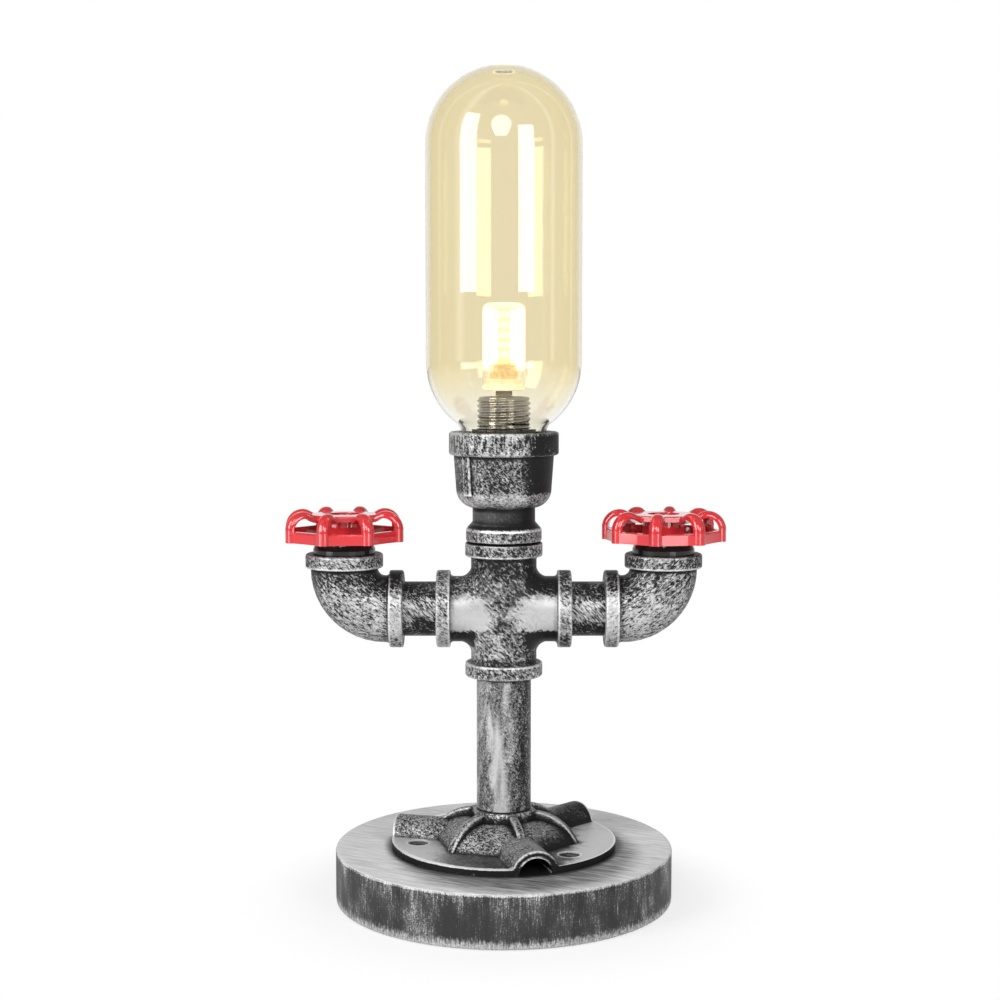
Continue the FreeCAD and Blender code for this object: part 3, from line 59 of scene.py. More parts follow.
BASE_RADIUS = base_high.x
BASE_TOP = base_high.z
FLANGE_RADIUS = flange_high.x
BEAD_WIDTH = 5.6 * MM
CROSS_CENTRE = (cross_low.z + cross_high.z) / 2
# where the cross's beads begin, out along the arms and up or down the trunk
ARM_BEAD_START = cross_high.x - BEAD_WIDTH
TRUNK_BEAD_START = (cross_high.z - cross_low.z) / 2 - BEAD_WIDTH

# ---- camera ---------------------------------------------------------------------------------

CAMERA_PLACE = (-0.0015, -0.689, 0.216)
CAMERA_PITCH_DOWN = 4.84
CAMERA_LENS = 63.9
SENSOR_WIDTH = 36.0


def make_camera():
    """Camera that shows the lamp as the photo does."""
    data = bpy.data.cameras.new("camera")
    data.lens = CAMERA_LENS
    data.sensor_width = SENSOR_WIDTH
    camera = bpy.data.objects.new("camera", data)
    camera.location = CAMERA_PLACE
    camera.rotation_euler = (math.radians(90 - CAMERA_PITCH_DOWN), 0, 0)
    bpy.context.scene.collection.objects.link(camera)
    bpy.context.scene.camera = camera


# ---- material building blocks ---------------------------------------------------------------

class Nodes:
    """A node tree, put together with short calls."""

    def __init__(self, tree):
        self.tree = tree
        self.tree.nodes.clear()

    def node(self, kind, inputs=None, **settings):
        made = self.tree.nodes.new(kind)
        for key, value in settings.items():
            setattr(made, key, value)
        for key, value in (inputs or {}).items():
            self.feed(made.inputs[key], value)
        return made

    def feed(self, socket, value):
        if isinstance(value, bpy.types.NodeSocket):
            self.tree.links.new(value, socket)
        else:
            socket.default_value = value

    def math(self, operation, *values, clamp=False):
        made = self.node("ShaderNodeMath", operation=operation, use_clamp=clamp)
        for socket, value in zip(made.inputs, values):
            self.feed(socket, value)
        return made.outputs["Value"]

    def times(self, a, b):
        return self.math("MULTIPLY", a, b)

    def plus(self, *values):
        total = values[0]
        for value in values[1:]:
            total = self.math("ADD", total, value)
        return total

    def less(self, a, b):
        return self.math("SUBTRACT", a, b)

    def larger(self, a, b):
        return self.math("MAXIMUM", a, b)

    def size_of(self, value):
        """Value without its sign."""
        return self.math("ABSOLUTE", value)

    def inverse(self, mask):
        """1 where the mask is 0."""
        return self.less(1.0, mask)

    def hypotenuse(self, a, b):
        return self.math("SQRT", self.plus(self.times(a, a), self.times(b, b)))

    def total(self, base, *terms):
        """Base plus each (value, share) pair's value times its share."""
        return self.plus(base, *(self.times(value, share) for value, share in terms))

    def remap(self, value, low, high, to_low=0.0, to_high=1.0):
        """Smooth step of a value from low..high to to_low..to_high."""
        made = self.node("ShaderNodeMapRange", {
            "Value": value, "From Min": low, "From Max": high, "To Min": to_low, "To Max": to_high},
            interpolation_type="SMOOTHSTEP")
        return made.outputs["Result"]

    def window(self, value, low, high, blur):
        """1 between low and high, and 0 outside, with soft ends."""
        return self.times(self.remap(value, low - blur, low + blur),
                          self.remap(value, high + blur, high - blur))

    def parts_of(self, vector):
        made = self.node("ShaderNodeSeparateXYZ", {"Vector": vector})
        return made.outputs["X"], made.outputs["Y"], made.outputs["Z"]

    def vector(self, x, y, z):
        return self.node("ShaderNodeCombineXYZ", {"X": x, "Y": y, "Z": z}).outputs["Vector"]

    def seen_directly(self):
        """1 for rays from the camera, from mirrors and through glass, else 0."""
        path = self.node("ShaderNodeLightPath")
        seen = self.larger(path.outputs["Is Camera Ray"], path.outputs["Is Glossy Ray"])
        return self.larger(seen, path.outputs["Is Transmission Ray"])


class Paint(Nodes):
    """One material."""

    def __init__(self, name):
        self.material = bpy.data.materials.new(name)
        self.material.use_nodes = True
        super().__init__(self.material.node_tree)
        self.place = self.node("ShaderNodeTexCoord").outputs["Object"]
        self.x, self.y, self.z = self.parts_of(self.place)

    def stretched(self, lengths=(1, 1, 1), turn=(0, 0, 0), place=None):
        """Coordinates turned first, and then drawn out by the given lengths."""
        made = self.node("ShaderNodeMapping", {
            "Vector": place or self.place, "Scale": lengths,
            "Rotation": tuple(math.radians(a) for a in turn)}, vector_type="TEXTURE")
        return made.outputs["Vector"]

    def noise(self, size, detail=2.0, roughness=0.5, distortion=0.0, place=None):
        """Noise of about one blob per size, in metres, as a value round 0."""
        made = self.node("ShaderNodeTexNoise", {
            "Vector": place or self.place, "Scale": 1.0 / size, "Detail": detail,
            "Roughness": roughness, "Distortion": distortion})
        return self.less(made.outputs["Fac"], 0.5)

    def facing(self):
        """Components of the surface's own direction, before any relief."""
        return self.parts_of(self.node("ShaderNodeNewGeometry").outputs["Normal"])

    def from_axis(self):
        return self.hypotenuse(self.x, self.y)

    def unrolled(self, radius):
        """Coordinates unrolled round the Z axis: distance round, distance from the axis, height."""
        angle = self.math("ARCTAN2", self.y, self.x)
        return self.vector(self.times(angle, radius), self.from_axis(), self.z)

    def mix(self, factor, first, second):
        made = self.node("ShaderNodeMix", data_type="RGBA")
        self.feed(made.inputs[0], factor)
        self.feed(made.inputs[6], first)
        self.feed(made.inputs[7], second)
        return made.outputs[2]

    def blend(self, factor, first, second):
        """Number between first and second."""
        made = self.node("ShaderNodeMix", data_type="FLOAT")
        self.feed(made.inputs[0], factor)
        self.feed(made.inputs[2], first)
        self.feed(made.inputs[3], second)
        return made.outputs[0]

    def shelter(self, distance, inside=False):
        """1 in creases (or, from inside, on sharp edges) and 0 on open faces."""
        made = self.node("ShaderNodeAmbientOcclusion", {"Distance": distance}, inside=inside,
                         only_local=True, samples=8)
        return self.inverse(made.outputs["AO"])

    def bump(self, height, distance, strength=1.0):
        made = self.node("ShaderNodeBump", {"Height": height, "Distance": distance, "Strength": strength})
        return made.outputs["Normal"]

    def surface(self, **inputs):
        """Principled shader; names are its socket names with underscores."""
        shader = self.node("ShaderNodeBsdfPrincipled")
        for key, value in inputs.items():
            self.feed(shader.inputs[key.replace("_", " ")], value)
        out = self.node("ShaderNodeOutputMaterial")
        self.tree.links.new(shader.outputs["BSDF"], out.inputs["Surface"])
        return self.material


def grey(value):
    return (value, value, value, 1)


def dress(material, *names):
    """Puts a material on CAD nodes."""
    for name in names:
        mesh = NODES[name].data
        mesh.materials.clear()
        mesh.materials.append(material)


# ---- antiqued iron --------------------------------------------------------------------------

BLACK_PAINT = (0.010, 0.010, 0.0105, 1)
DULL_SILVER = grey(0.40)
SILVER_PAINT = grey(0.62)
BRIGHT_SILVER = grey(0.90)
SILVER_STEP = 0.27
SILVER_METALLIC = 0.5
IRON_ROUGHNESS = 0.42
IRON_SPECULAR = 0.14
EDGE_SHINE = 0.6
CLOUD_SIZE = 1.2 * MM
PATCH_SIZE = 8 * MM
CAST_RELIEF = 0.12 * MM
FINE_RELIEF = 0.10 * MM
PIPE_RELIEF = 0.08 * MM
RIGHT_ELBOW_SHIFT = 100 * MM


class Iron(Paint):
    """Cast iron, painted black and dry-brushed with silver. The amount of silver at a point is a sum of
    masks: under 0.5 - SILVER_STEP it stays black, and over 0.5 + SILVER_STEP it is all silver."""

    def flecks(self, size, length, tilt, place=None):
        """Short brush marks, drawn out along a direction tilted down to the right."""
        return self.noise(size, detail=2.0, roughness=0.6, distortion=0.7,
                          place=self.stretched((length, 1, 1), (0, tilt, 0), place=place))

    def worn_edges(self, distance=1.2 * MM, low=0.07, high=0.24):
        """1 along convex edges, where the brush leaves a bright line."""
        return self.remap(self.shelter(distance, inside=True), low, high)

    def creases(self, distance=2.0 * MM, low=0.07, high=0.24):
        """1 in the narrow hollows beside beads and ribs, which stay black."""
        return self.remap(self.shelter(distance), low, high)

    def in_front(self):
        """1 on the front and 0 behind."""
        return self.remap(self.facing()[1], 0.45, -0.15)

    def finished(self, amount, marks, relief, smooth=0.0, tone=0.5, wear_and_highlight=0.0):
        """The paint; where smooth is 1 the silver is even, between dull (tone 0) and bright (1), and
        where the last mask is 1 it shines, on worn edges and as painted highlights."""
        silver = self.remap(amount, 0.5 - SILVER_STEP, 0.5 + SILVER_STEP)
        clouds = self.remap(self.noise(CLOUD_SIZE, detail=3, roughness=0.7), -0.12, 0.16)
        clouds = self.blend(smooth, clouds, tone)
        colour = self.mix(wear_and_highlight, self.mix(clouds, DULL_SILVER, SILVER_PAINT), BRIGHT_SILVER)
        return self.surface(
            Base_Color=self.mix(silver, BLACK_PAINT, colour),
            Metallic=self.times(silver, SILVER_METALLIC), Roughness=IRON_ROUGHNESS,
            Specular_IOR_Level=IRON_SPECULAR, Normal=self.bump(marks, relief, 0.7))


def elbow_iron():
    """Flecked all over, thinly on the sides and in the crook, with bright lines on the beads. The right
    elbow's flecks slant the other way, and come from another place of the noise."""
    p = Iron("antiqued_elbows")
    out = p.size_of(p.x)
    on_right = p.remap(p.x, -1 * MM, 1 * MM)
    mirrored = p.vector(p.times(p.plus(out, p.times(on_right, RIGHT_ELBOW_SHIFT)), -1.0), p.y, p.z)
    marks = p.flecks(0.78 * MM, 2.2, 32, place=mirrored)
    facing = p.facing()
    edges = p.worn_edges()
    end_bead = p.remap(out, elbow_low.x + 5.2 * MM, elbow_low.x + 4.6 * MM)
    middle = p.remap(p.size_of(p.less(p.z, CROSS_CENTRE)), 12 * MM, 5 * MM)
    top_bead = p.remap(p.z, elbow_high.z - BEAD_WIDTH, elbow_high.z - 5.0 * MM)
    wavy_height = p.plus(p.z, p.times(p.noise(5 * MM), 8 * MM))
    upper = p.remap(wavy_height, CROSS_CENTRE + 3 * MM, elbow_high.z - 7 * MM)
    amount = p.total(
        0.20,
        (marks, p.blend(edges, 2.0, 0.9)),
        # painted light: more silver on faces turned to front and back, standing partly for the light they
        # catch
        (p.size_of(facing[1]), 0.33),
        (facing[2], -0.12),
        (p.noise(PATCH_SIZE, detail=1), 0.3),
        (edges, 0.36),
        (end_bead, p.blend(middle, -0.04, 0.20)),
        (p.creases(), -0.6),
        (p.times(upper, p.inverse(top_bead)), p.blend(on_right, -0.20, -0.10)),
        (p.times(top_bead, on_right), -0.12),
        (on_right, 0.03))
    return p.finished(amount, marks, CAST_RELIEF, wear_and_highlight=p.times(edges, EDGE_SHINE))


def cross_iron():
    """Painted highlight: a smooth bright band of silver along the two arms, with painted shade under it, and
    flecks elsewhere.
    """
    p = Iron("antiqued_cross")
    marks = p.flecks(0.80 * MM, 2.2, 40)
    out = p.size_of(p.x)
    rise = p.less(p.z, CROSS_CENTRE)
    on_left = p.remap(p.x, 1 * MM, -1 * MM)
    ragged = p.plus(p.times(marks, 2.5 * MM), p.times(p.noise(4 * MM, detail=3), 7 * MM))
    ragged_out = p.plus(out, ragged)
    ragged_rise = p.plus(rise, p.times(ragged, 0.4))
    before_bead = p.remap(out, ARM_BEAD_START + 0.2 * MM, ARM_BEAD_START - 0.3 * MM)

    # the band, a painted highlight of smooth silver: in front only, from a slanting start, with a soft top
    # and a sharp bottom
    front = p.remap(p.facing()[1], -0.30, -0.50)
    slant = p.times(p.size_of(p.plus(rise, 1.0 * MM)), 0.35)
    along = p.times(before_bead, p.remap(p.plus(ragged_out, p.times(slant, -1.0)), 0.5 * MM, 7.5 * MM))
    upright = p.times(p.remap(ragged_rise, -7.6 * MM, -6.5 * MM),
                      p.remap(p.plus(rise, ragged), 8.0 * MM, 4.0 * MM))
    band = p.times(p.times(along, front), upright)
    highlight_tone = p.remap(p.plus(ragged_rise, p.times(marks, 8 * MM)), -3.0 * MM, 3.0 * MM, 0.45, 0.2)

    # the arms under and over the band; under it the arms get painted shade
    wider_on_left = p.times(on_left, 2 * MM)
    arms = p.times(before_bead, p.remap(ragged_out, p.plus(8.0 * MM, wider_on_left),
                                        p.plus(10.5 * MM, wider_on_left)))
    under = p.times(arms, p.window(ragged_rise, -14 * MM, -7.6 * MM, 0.5 * MM))
    over = p.times(arms, p.window(ragged_rise, 7.2 * MM, 14 * MM, 0.8 * MM))

    # the trunk, whose sides get painted shade, heavier on the right
    shaded_trunk_sides = p.times(p.remap(p.plus(out, p.times(ragged, 0.5)), 6.5 * MM, 10 * MM),
                          p.window(p.size_of(rise), 8 * MM, TRUNK_BEAD_START, 1.5 * MM))
    low_left = p.times(p.remap(p.plus(p.x, ragged), 0.5 * MM, -2.0 * MM),
                       p.window(rise, -18 * MM, -8.0 * MM, 1.5 * MM))
    top = p.window(rise, 13 * MM, TRUNK_BEAD_START, 2 * MM)
    centre = p.times(p.window(rise, -8 * MM, 14 * MM, 3 * MM), p.remap(out, 12 * MM, 8 * MM))

    # the beads
    arm_beads = p.remap(out, ARM_BEAD_START, ARM_BEAD_START + 0.4 * MM)
    trunk_beads = p.remap(p.size_of(rise), TRUNK_BEAD_START, TRUNK_BEAD_START + 0.4 * MM)
    # painted shade: a black line round the top edge, where the socket sits over the cross
    shade_line_under_socket = p.remap(p.z, cross_high.z - 0.5 * MM, cross_high.z - 0.3 * MM)

    edges = p.worn_edges()
    calm = p.larger(band, p.times(p.larger(edges, centre), 0.5))
    amount = p.total(
        0.38,
        (marks, p.blend(calm, 1.7, 0.55)),
        (p.noise(PATCH_SIZE, detail=1), 0.3),
        (band, 0.36),
        (under, -0.5),
        (over, p.blend(on_left, -0.10, 0.02)),
        (arm_beads, 0.12),
        (shaded_trunk_sides, p.blend(on_left, -0.17, -0.04)),
        (trunk_beads, 0.02),
        (low_left, 0.14),
        (top, -0.10),
        (edges, 0.34),
        (p.creases(), -0.6),
        (shade_line_under_socket, -0.8))
    return p.finished(amount, marks, CAST_RELIEF, smooth=p.times(band, 0.8), tone=highlight_tone,
                      wear_and_highlight=p.times(edges, EDGE_SHINE))


def socket_iron():
    """Dark body with painted shade that takes it to black on the right, bright shoulder, plain neck
    with painted shade on its right, streaked rim, and a small bead with a painted highlight on its upper edge
    between two painted shade lines."""
    p = Iron("antiqued_socket")
    height = p.less(p.z, socket_low.z)
    marks = p.flecks(0.70 * MM, 1.8, 40)
    strokes = p.noise(1.1 * MM, detail=2.5, roughness=0.6, place=p.stretched((1, 1, 5)))
    small_bead = p.remap(height, 5.6 * MM, 4.9 * MM)
    # painted highlight: a bright line on the small bead's upper edge, strongest in the middle
    bead_highlight = p.times(p.window(height, 4.3 * MM, 5.2 * MM, 0.25 * MM),
                        p.remap(p.size_of(p.x), 12 * MM, 6 * MM, 0.45, 1.0))
    # painted shade: black lines in the crease above the small bead and along the bottom edge
    shade_lines = p.plus(p.window(height, 5.7 * MM, 6.6 * MM, 0.2 * MM),
                         p.remap(height, 0.45 * MM, 0.25 * MM))
    neck = p.window(height, 6.4 * MM, 13.2 * MM, 0.5 * MM)
    wavy_height = p.plus(height, p.times(p.noise(2.5 * MM), 2.5 * MM))
    shoulder = p.window(wavy_height, 14.6 * MM, 19.5 * MM, 0.9 * MM)
    rim = p.remap(height, 34.2 * MM, 35.0 * MM)
    # painted shade: the front of the body darkens towards its right side
    fade = p.times(p.remap(p.x, 6 * MM, 13 * MM), p.inverse(p.times(shoulder, 0.6)))
    fade = p.times(p.times(fade, p.in_front()), p.remap(height, 5.6 * MM, 6.6 * MM))
    edges = p.worn_edges()
    amount = p.total(
        0.35,
        (marks, p.blend(neck, 1.5, 0.15)),
        (p.times(strokes, rim), 1.4),
        (rim, 0.12),
        (small_bead, 0.04),
        (neck, -0.06),
        (shoulder, 0.24),
        (p.noise(PATCH_SIZE, detail=1), p.blend(neck, 0.35, 0.1)),
        (fade, -0.40),
        (edges, 0.40),
        (p.creases(), -0.55),
        (bead_highlight, 0.35),
        (shade_lines, -0.8),
        # painted shade: the neck darkens towards its right
        (p.times(neck, p.x), -6.0))
    return p.finished(amount, marks, FINE_RELIEF,
                      wear_and_highlight=p.larger(p.times(edges, EDGE_SHINE), p.times(bead_highlight, 0.8)))


def pipe_iron():
    """Smooth drawn pipe: fine flecks, a soft upright wash of silver with a painted highlight streak in its
    middle, and painted shade on its right side, under the cross's bead and at its foot."""
    p = Iron("antiqued_pipe")
    marks = p.flecks(0.60 * MM, 1.6, 50)
    wash = p.noise(4.5 * MM, detail=2.5, distortion=1.4, place=p.stretched((1, 1, 4.5), (0, 8, 0)))
    height = p.less(p.z, flange_high.z)
    drift = p.plus(p.x, p.times(height, 0.10), 0.6 * MM, p.times(wash, 3 * MM))
    # painted highlight: a streak of smooth bright silver up the lower part of the middle
    streak = p.times(p.window(drift, -2.6 * MM, 2.6 * MM, 1.3 * MM), p.remap(height, 47 * MM, 30 * MM))
    # painted shade: the front darkens towards its right side
    fade = p.times(p.remap(p.plus(p.x, p.times(wash, 5 * MM)), 2.0 * MM, 7.5 * MM), p.in_front())
    # painted shade under the cross's bead and at the foot on the flange
    shade_under_bead = p.remap(p.less(cross_low.z, p.z), 1.3 * MM, 0.5 * MM)
    foot = p.remap(height, 0.9 * MM, 0.3 * MM)
    amount = p.total(
        0.46,
        (marks, p.blend(streak, p.blend(fade, 0.75, 1.2), 0.35)),
        (wash, 0.65),
        (streak, 0.17),
        (fade, -0.15),
        (shade_under_bead, -0.5),
        (foot, -0.5))
    return p.finished(amount, marks, PIPE_RELIEF, smooth=p.times(streak, 0.8), tone=0.55)


def nipple_iron():
    """Short screwed pipe: dark, with slanting strokes and a soft painted highlight patch on the faces between
    its top and bottom.
    """
    p = Iron("antiqued_nipples")
    strokes = p.flecks(0.60 * MM, 5.0, 50)
    up = p.facing()[2]
    # painted highlight: more silver on faces between top and bottom
    patch = p.window(p.plus(up, p.times(p.noise(4 * MM), 0.8)), -0.30, 0.40, 0.2)
    amount = p.total(0.22, (strokes, 1.8), (patch, 0.30), (p.noise(5 * MM, detail=1), 0.6))
    return p.finished(amount, strokes, FINE_RELIEF)


def flange_iron():
    """Speckled dome and outlets, smoother on the right, with painted shade towards the lower right and deep
    in the outlets;
    plain plate, pale at the sides and dark in front, with a black rim and a worn upper edge."""
    p = Iron("antiqued_flange")
    marks = p.flecks(0.65 * MM, 1.8, 35)
    up = p.facing()[2]
    distance = p.from_axis()
    wander = p.noise(9 * MM, detail=2)
    sideways = p.plus(p.x, p.times(wander, 24 * MM))

    # the plate, its rim and the worn lip on the left of its upper edge
    flat = p.times(p.remap(up, 0.97, 0.99), p.remap(p.z, BASE_TOP + 3.4 * MM, BASE_TOP + 2.8 * MM))
    pale = p.larger(p.remap(sideways, -16 * MM, -34 * MM), p.remap(sideways, 22 * MM, 34 * MM))
    rim = p.times(p.remap(up, 0.35, 0.15),
                  p.remap(distance, FLANGE_RADIUS - 1.2 * MM, FLANGE_RADIUS - 0.7 * MM))
    ragged = p.times(p.noise(1.5 * MM, detail=3), 1.6 * MM)
    lip_ring = p.window(p.plus(distance, ragged), FLANGE_RADIUS - 1.8 * MM, FLANGE_RADIUS + 2 * MM,
                        0.3 * MM)
    lip_height = p.window(p.plus(p.z, p.times(ragged, 0.3)), BASE_TOP + 2.2 * MM, BASE_TOP + 3.4 * MM,
                          0.15 * MM)
    lip = p.times(p.times(lip_ring, lip_height), p.window(p.x, -38 * MM, 3 * MM, 4 * MM))
    arch = p.times(rim, p.remap(p.z, BASE_TOP + 3.0 * MM, BASE_TOP + 3.6 * MM))

    # the dome and the outlets, with painted shade falling towards the lower right and deep inside the outlets
    right = p.times(p.inverse(flat), p.remap(sideways, 7 * MM, 13 * MM))
    painted_shade_lower_right = p.times(right, p.remap(p.less(p.z, p.times(p.x, 0.3)), BASE_TOP + 6 * MM, BASE_TOP - 3 * MM))
    hub = p.remap(distance, 14.5 * MM, 13 * MM)
    edges = p.worn_edges(1.3 * MM, 0.10, 0.30)
    creases = p.creases(3.6 * MM, 0.10, 0.24)
    shade_in_outlets = p.creases(8 * MM, 0.50, 0.70)

    amount = p.total(
        0.44,
        (marks, p.blend(flat, p.blend(right, 1.8, 0.7), 0.5)),
        (wander, 0.3),
        (flat, -0.08),
        (p.times(flat, pale), 0.41),
        (painted_shade_lower_right, -0.22),
        (edges, p.blend(hub, 0.52, 0.12)),
        (hub, -0.10),
        (p.times(creases, p.inverse(edges)), -0.9),
        (rim, -0.9),
        (arch, 0.55),
        (lip, 1.3),
        (shade_in_outlets, -1.5))
    return p.finished(amount, marks, CAST_RELIEF, smooth=p.times(pale, flat), tone=0.9,
                      wear_and_highlight=p.larger(lip, p.times(edges, p.blend(hub, 0.7, 0.0))))


# ---- other materials ------------------------------------------------------------------------

CHARCOAL = (0.024, 0.024, 0.0245, 1)
WORN_CHARCOAL = (0.052, 0.052, 0.053, 1)
BRUSHED_SILVER = grey(0.62)
TOP_GREY = grey(0.34)
TOP_PALE = grey(0.72)
# painted shadow colours: before the flange, and black close round its plate
TOP_SHADE = grey(0.09)
CONTACT_SHADOW_BLACK = grey(0.012)


def painted_base():
    """Pale grey brushed top with a painted shadow before the flange and a painted black contact shadow
    round its plate; charcoal side with sparse upright dotted strokes of silver, a thin bright lip and a worn
    foot."""
    p = Paint("painted_base")
    top = p.remap(p.facing()[2], 0.55, 0.85)

    # the side, brushed upright
    round_place = p.unrolled(BASE_RADIUS)
    strokes = p.noise(0.50 * MM, detail=2, roughness=0.6, place=p.stretched((1, 3, 14), place=round_place))
    dots = p.noise(0.55 * MM, detail=1, place=round_place)
    patches = p.noise(7 * MM, detail=2, place=p.stretched((1, 1, 2.5), place=round_place))
    jagged = p.noise(0.8 * MM, detail=3, roughness=0.7, place=p.stretched((1, 1, 3), place=round_place))
    foot = p.remap(p.plus(p.z, p.times(jagged, -8 * MM)), 4.4 * MM, 1.2 * MM)
    lip = p.remap(p.plus(p.z, p.times(jagged, 1.0 * MM)), BASE_TOP - 1.3 * MM, BASE_TOP - 0.7 * MM)
    near_lip = p.remap(p.z, BASE_TOP - 6 * MM, BASE_TOP - 1 * MM)
    level = p.total(p.times(strokes, 1.3), (dots, 1.0), (patches, 1.2), (lip, 0.45), (near_lip, 0.12))
    brushed = p.math("POWER", p.remap(level, -0.10, 0.95), 1.5)
    silver = p.larger(brushed, p.times(foot, p.plus(0.50, strokes, dots)))
    ground = p.mix(p.remap(patches, -0.2, 0.2), CHARCOAL, WORN_CHARCOAL)
    side_colour = p.mix(silver, ground, BRUSHED_SILVER)

    # the top, with a painted round shadow in front and a painted black contact shadow close round the
    # flange's plate
    streaks = p.noise(0.9 * MM, detail=3, roughness=0.6, place=p.stretched((12, 1, 1), (0, 0, -25)))
    clouds = p.noise(28 * MM, detail=2)
    from_shade = p.hypotenuse(p.times(p.plus(p.x, -5 * MM), 1.1), p.plus(p.y, 12 * MM))
    from_shade = p.plus(from_shade, p.times(streaks, 5 * MM))
    shade = p.remap(from_shade, FLANGE_RADIUS + 13 * MM, FLANGE_RADIUS)
    contact_shadow = p.remap(p.from_axis(), FLANGE_RADIUS + 4.0 * MM, FLANGE_RADIUS)
    tone = p.total(0.66, (streaks, 1.9), (clouds, 0.6))
    top_colour = p.mix(tone, TOP_GREY, TOP_PALE)
    top_colour = p.mix(p.times(shade, p.total(0.85, (streaks, -1.5))), top_colour, TOP_SHADE)
    top_colour = p.mix(contact_shadow, top_colour, CONTACT_SHADOW_BLACK)

    relief = p.blend(top, p.times(strokes, 0.6), p.times(streaks, 0.2))
    return p.surface(Base_Color=p.mix(top, side_colour, top_colour), Roughness=p.blend(top, 0.50, 0.40),
                     Normal=p.bump(relief, 0.20 * MM, 0.6), Specular_IOR_Level=0.2)


def enamel(name, colour, spread, coat):
    """Gloss enamel with a faint orange-peel ripple."""
    p = Paint(name)
    ripple = p.noise(4.0 * MM, detail=1)
    # darker in creases: pooled enamel, and painted shade
    pooled_and_shaded = p.remap(p.shelter(2.5 * MM), 0.1, 0.7)
    clouds = p.noise(9 * MM)
    tint = p.mix(p.total(p.times(pooled_and_shaded, 0.8), (clouds, 0.4)), colour, spread)
    return p.surface(Base_Color=tint, Roughness=0.30, Normal=p.bump(ripple, 0.14 * MM, 0.8),
                     Coat_Weight=coat, Coat_Roughness=0.05, Coat_IOR=1.65, Specular_IOR_Level=0.1)


def plain(name, colour, roughness, metallic=0.0, grain=0.6 * MM, variation=0.12, relief=0.03 * MM):
    """Simple finish with slight unevenness in its colour, gloss and surface."""
    p = Paint(name)
    value = p.plus(0.5, p.noise(grain, detail=3))
    dark = tuple(c * (1 - variation) for c in colour[:3]) + (1,)
    light = tuple(min(1.0, c * (1 + variation)) for c in colour[:3]) + (1,)
    return p.surface(Base_Color=p.mix(value, dark, light), Metallic=metallic,
                     Roughness=p.remap(value, 0.3, 0.7, roughness * 0.85, roughness * 1.15),
                     Normal=p.bump(value, relief, 0.5))


def felt():
    """Black felt with matted fibres."""
    p = Paint("felt_cloth")
    fibres = p.plus(0.5, p.noise(0.35 * MM, detail=4, roughness=0.7, distortion=1.5))
    colour = p.mix(fibres, (0.008, 0.008, 0.009, 1), (0.05, 0.05, 0.052, 1))
    return p.surface(Base_Color=colour, Roughness=0.95, Normal=p.bump(fibres, 0.3 * MM), Sheen_Weight=0.3)


def tinted_glass():
    """Clear glass with a champagne tint, deeper towards its outline and paler at its ends; the vent
    hole in its crown has a painted glow of the bulb's light."""
    p = Paint("champagne_glass")
    wave = p.noise(30 * MM, detail=0)
    turned_away = p.node("ShaderNodeLayerWeight", {"Blend": 0.35}).outputs["Facing"]
    crown = p.remap(p.facing()[2], 0.15, 0.95)
    face_on = p.mix(crown, (0.910, 0.850, 0.675, 1), (0.95, 0.895, 0.76, 1))
    tint = p.mix(turned_away, face_on, (0.89, 0.80, 0.51, 1))
    bottom = p.remap(p.z, shade_low.z + 36 * MM, shade_low.z + 12 * MM)
    tint = p.mix(bottom, tint, (0.955, 0.940, 0.870, 1))
    # painted glow of the bulb's light in the vent hole's wall
    vent = p.times(p.remap(p.from_axis(), 5.0 * MM, 4.0 * MM),
                   p.remap(p.z, shade_high.z - 6 * MM, shade_high.z - 4 * MM))
    return p.surface(Base_Color=tint, Roughness=0.0, Transmission_Weight=1.0, IOR=1.5,
                     Emission_Color=(1.0, 0.93, 0.78, 1), Emission_Strength=p.times(vent, 0.35),
                     Normal=p.bump(wave, 0.15 * MM, 0.3))


def clear_cover():
    """Clear plastic that glows at its sides with the light piped round it, and is amber at its
    outline."""
    p = Paint("clear_bulb_cover")
    wave = p.noise(6 * MM, detail=0)
    sides = p.times(p.remap(p.size_of(p.facing()[0]), 0.40, 0.75),
                    p.window(p.z, board_low.z + 4 * MM, board_high.z + 0.5 * MM, 1.5 * MM))
    crown = p.remap(p.z, board_high.z + 0.3 * MM, board_high.z + 1.5 * MM)
    turned_away = p.node("ShaderNodeLayerWeight", {"Blend": 0.5}).outputs["Facing"]
    outline = p.remap(turned_away, 0.62, 0.90)
    glow = p.total(0.04, (sides, 0.5), (crown, 0.22))
    return p.surface(Base_Color=p.mix(outline, (0.98, 0.96, 0.88, 1), (0.86, 0.76, 0.54, 1)),
                     Roughness=0.02, Transmission_Weight=1.0, IOR=1.45,
                     Emission_Color=(1.0, 0.94, 0.80, 1),
                     Emission_Strength=p.times(glow, p.inverse(outline)),
                     Normal=p.bump(wave, 0.05 * MM, 0.3))


def amber_end(p):
    """1 at the lower end of the board and its chips, which glow amber."""
    return p.remap(p.z, board_low.z + 8.0 * MM, board_low.z + 5.0 * MM)


def turned_sideways(p):
    """1 on faces to the left and right."""
    return p.remap(p.size_of(p.facing()[0]), 0.3, 0.6)


def lit_chip():
    """LED chips, yellow in front, white at the sides and amber at the bottom."""
    p = Paint("lit_led")
    glow = p.noise(1.2 * MM, detail=1)
    sideways = turned_sideways(p)
    low = amber_end(p)
    return p.surface(Base_Color=p.mix(low, (0.98, 0.80, 0.30, 1), (0.40, 0.29, 0.15, 1)), Roughness=0.5,
                     Emission_Color=p.mix(low, (1.0, 0.82, 0.38, 1), (1.0, 0.66, 0.30, 1)),
                     Emission_Strength=p.blend(low, p.blend(sideways, 3.0, 9.0), p.plus(0.55, glow)),
                     Normal=p.bump(glow, 0.05 * MM, 0.3))


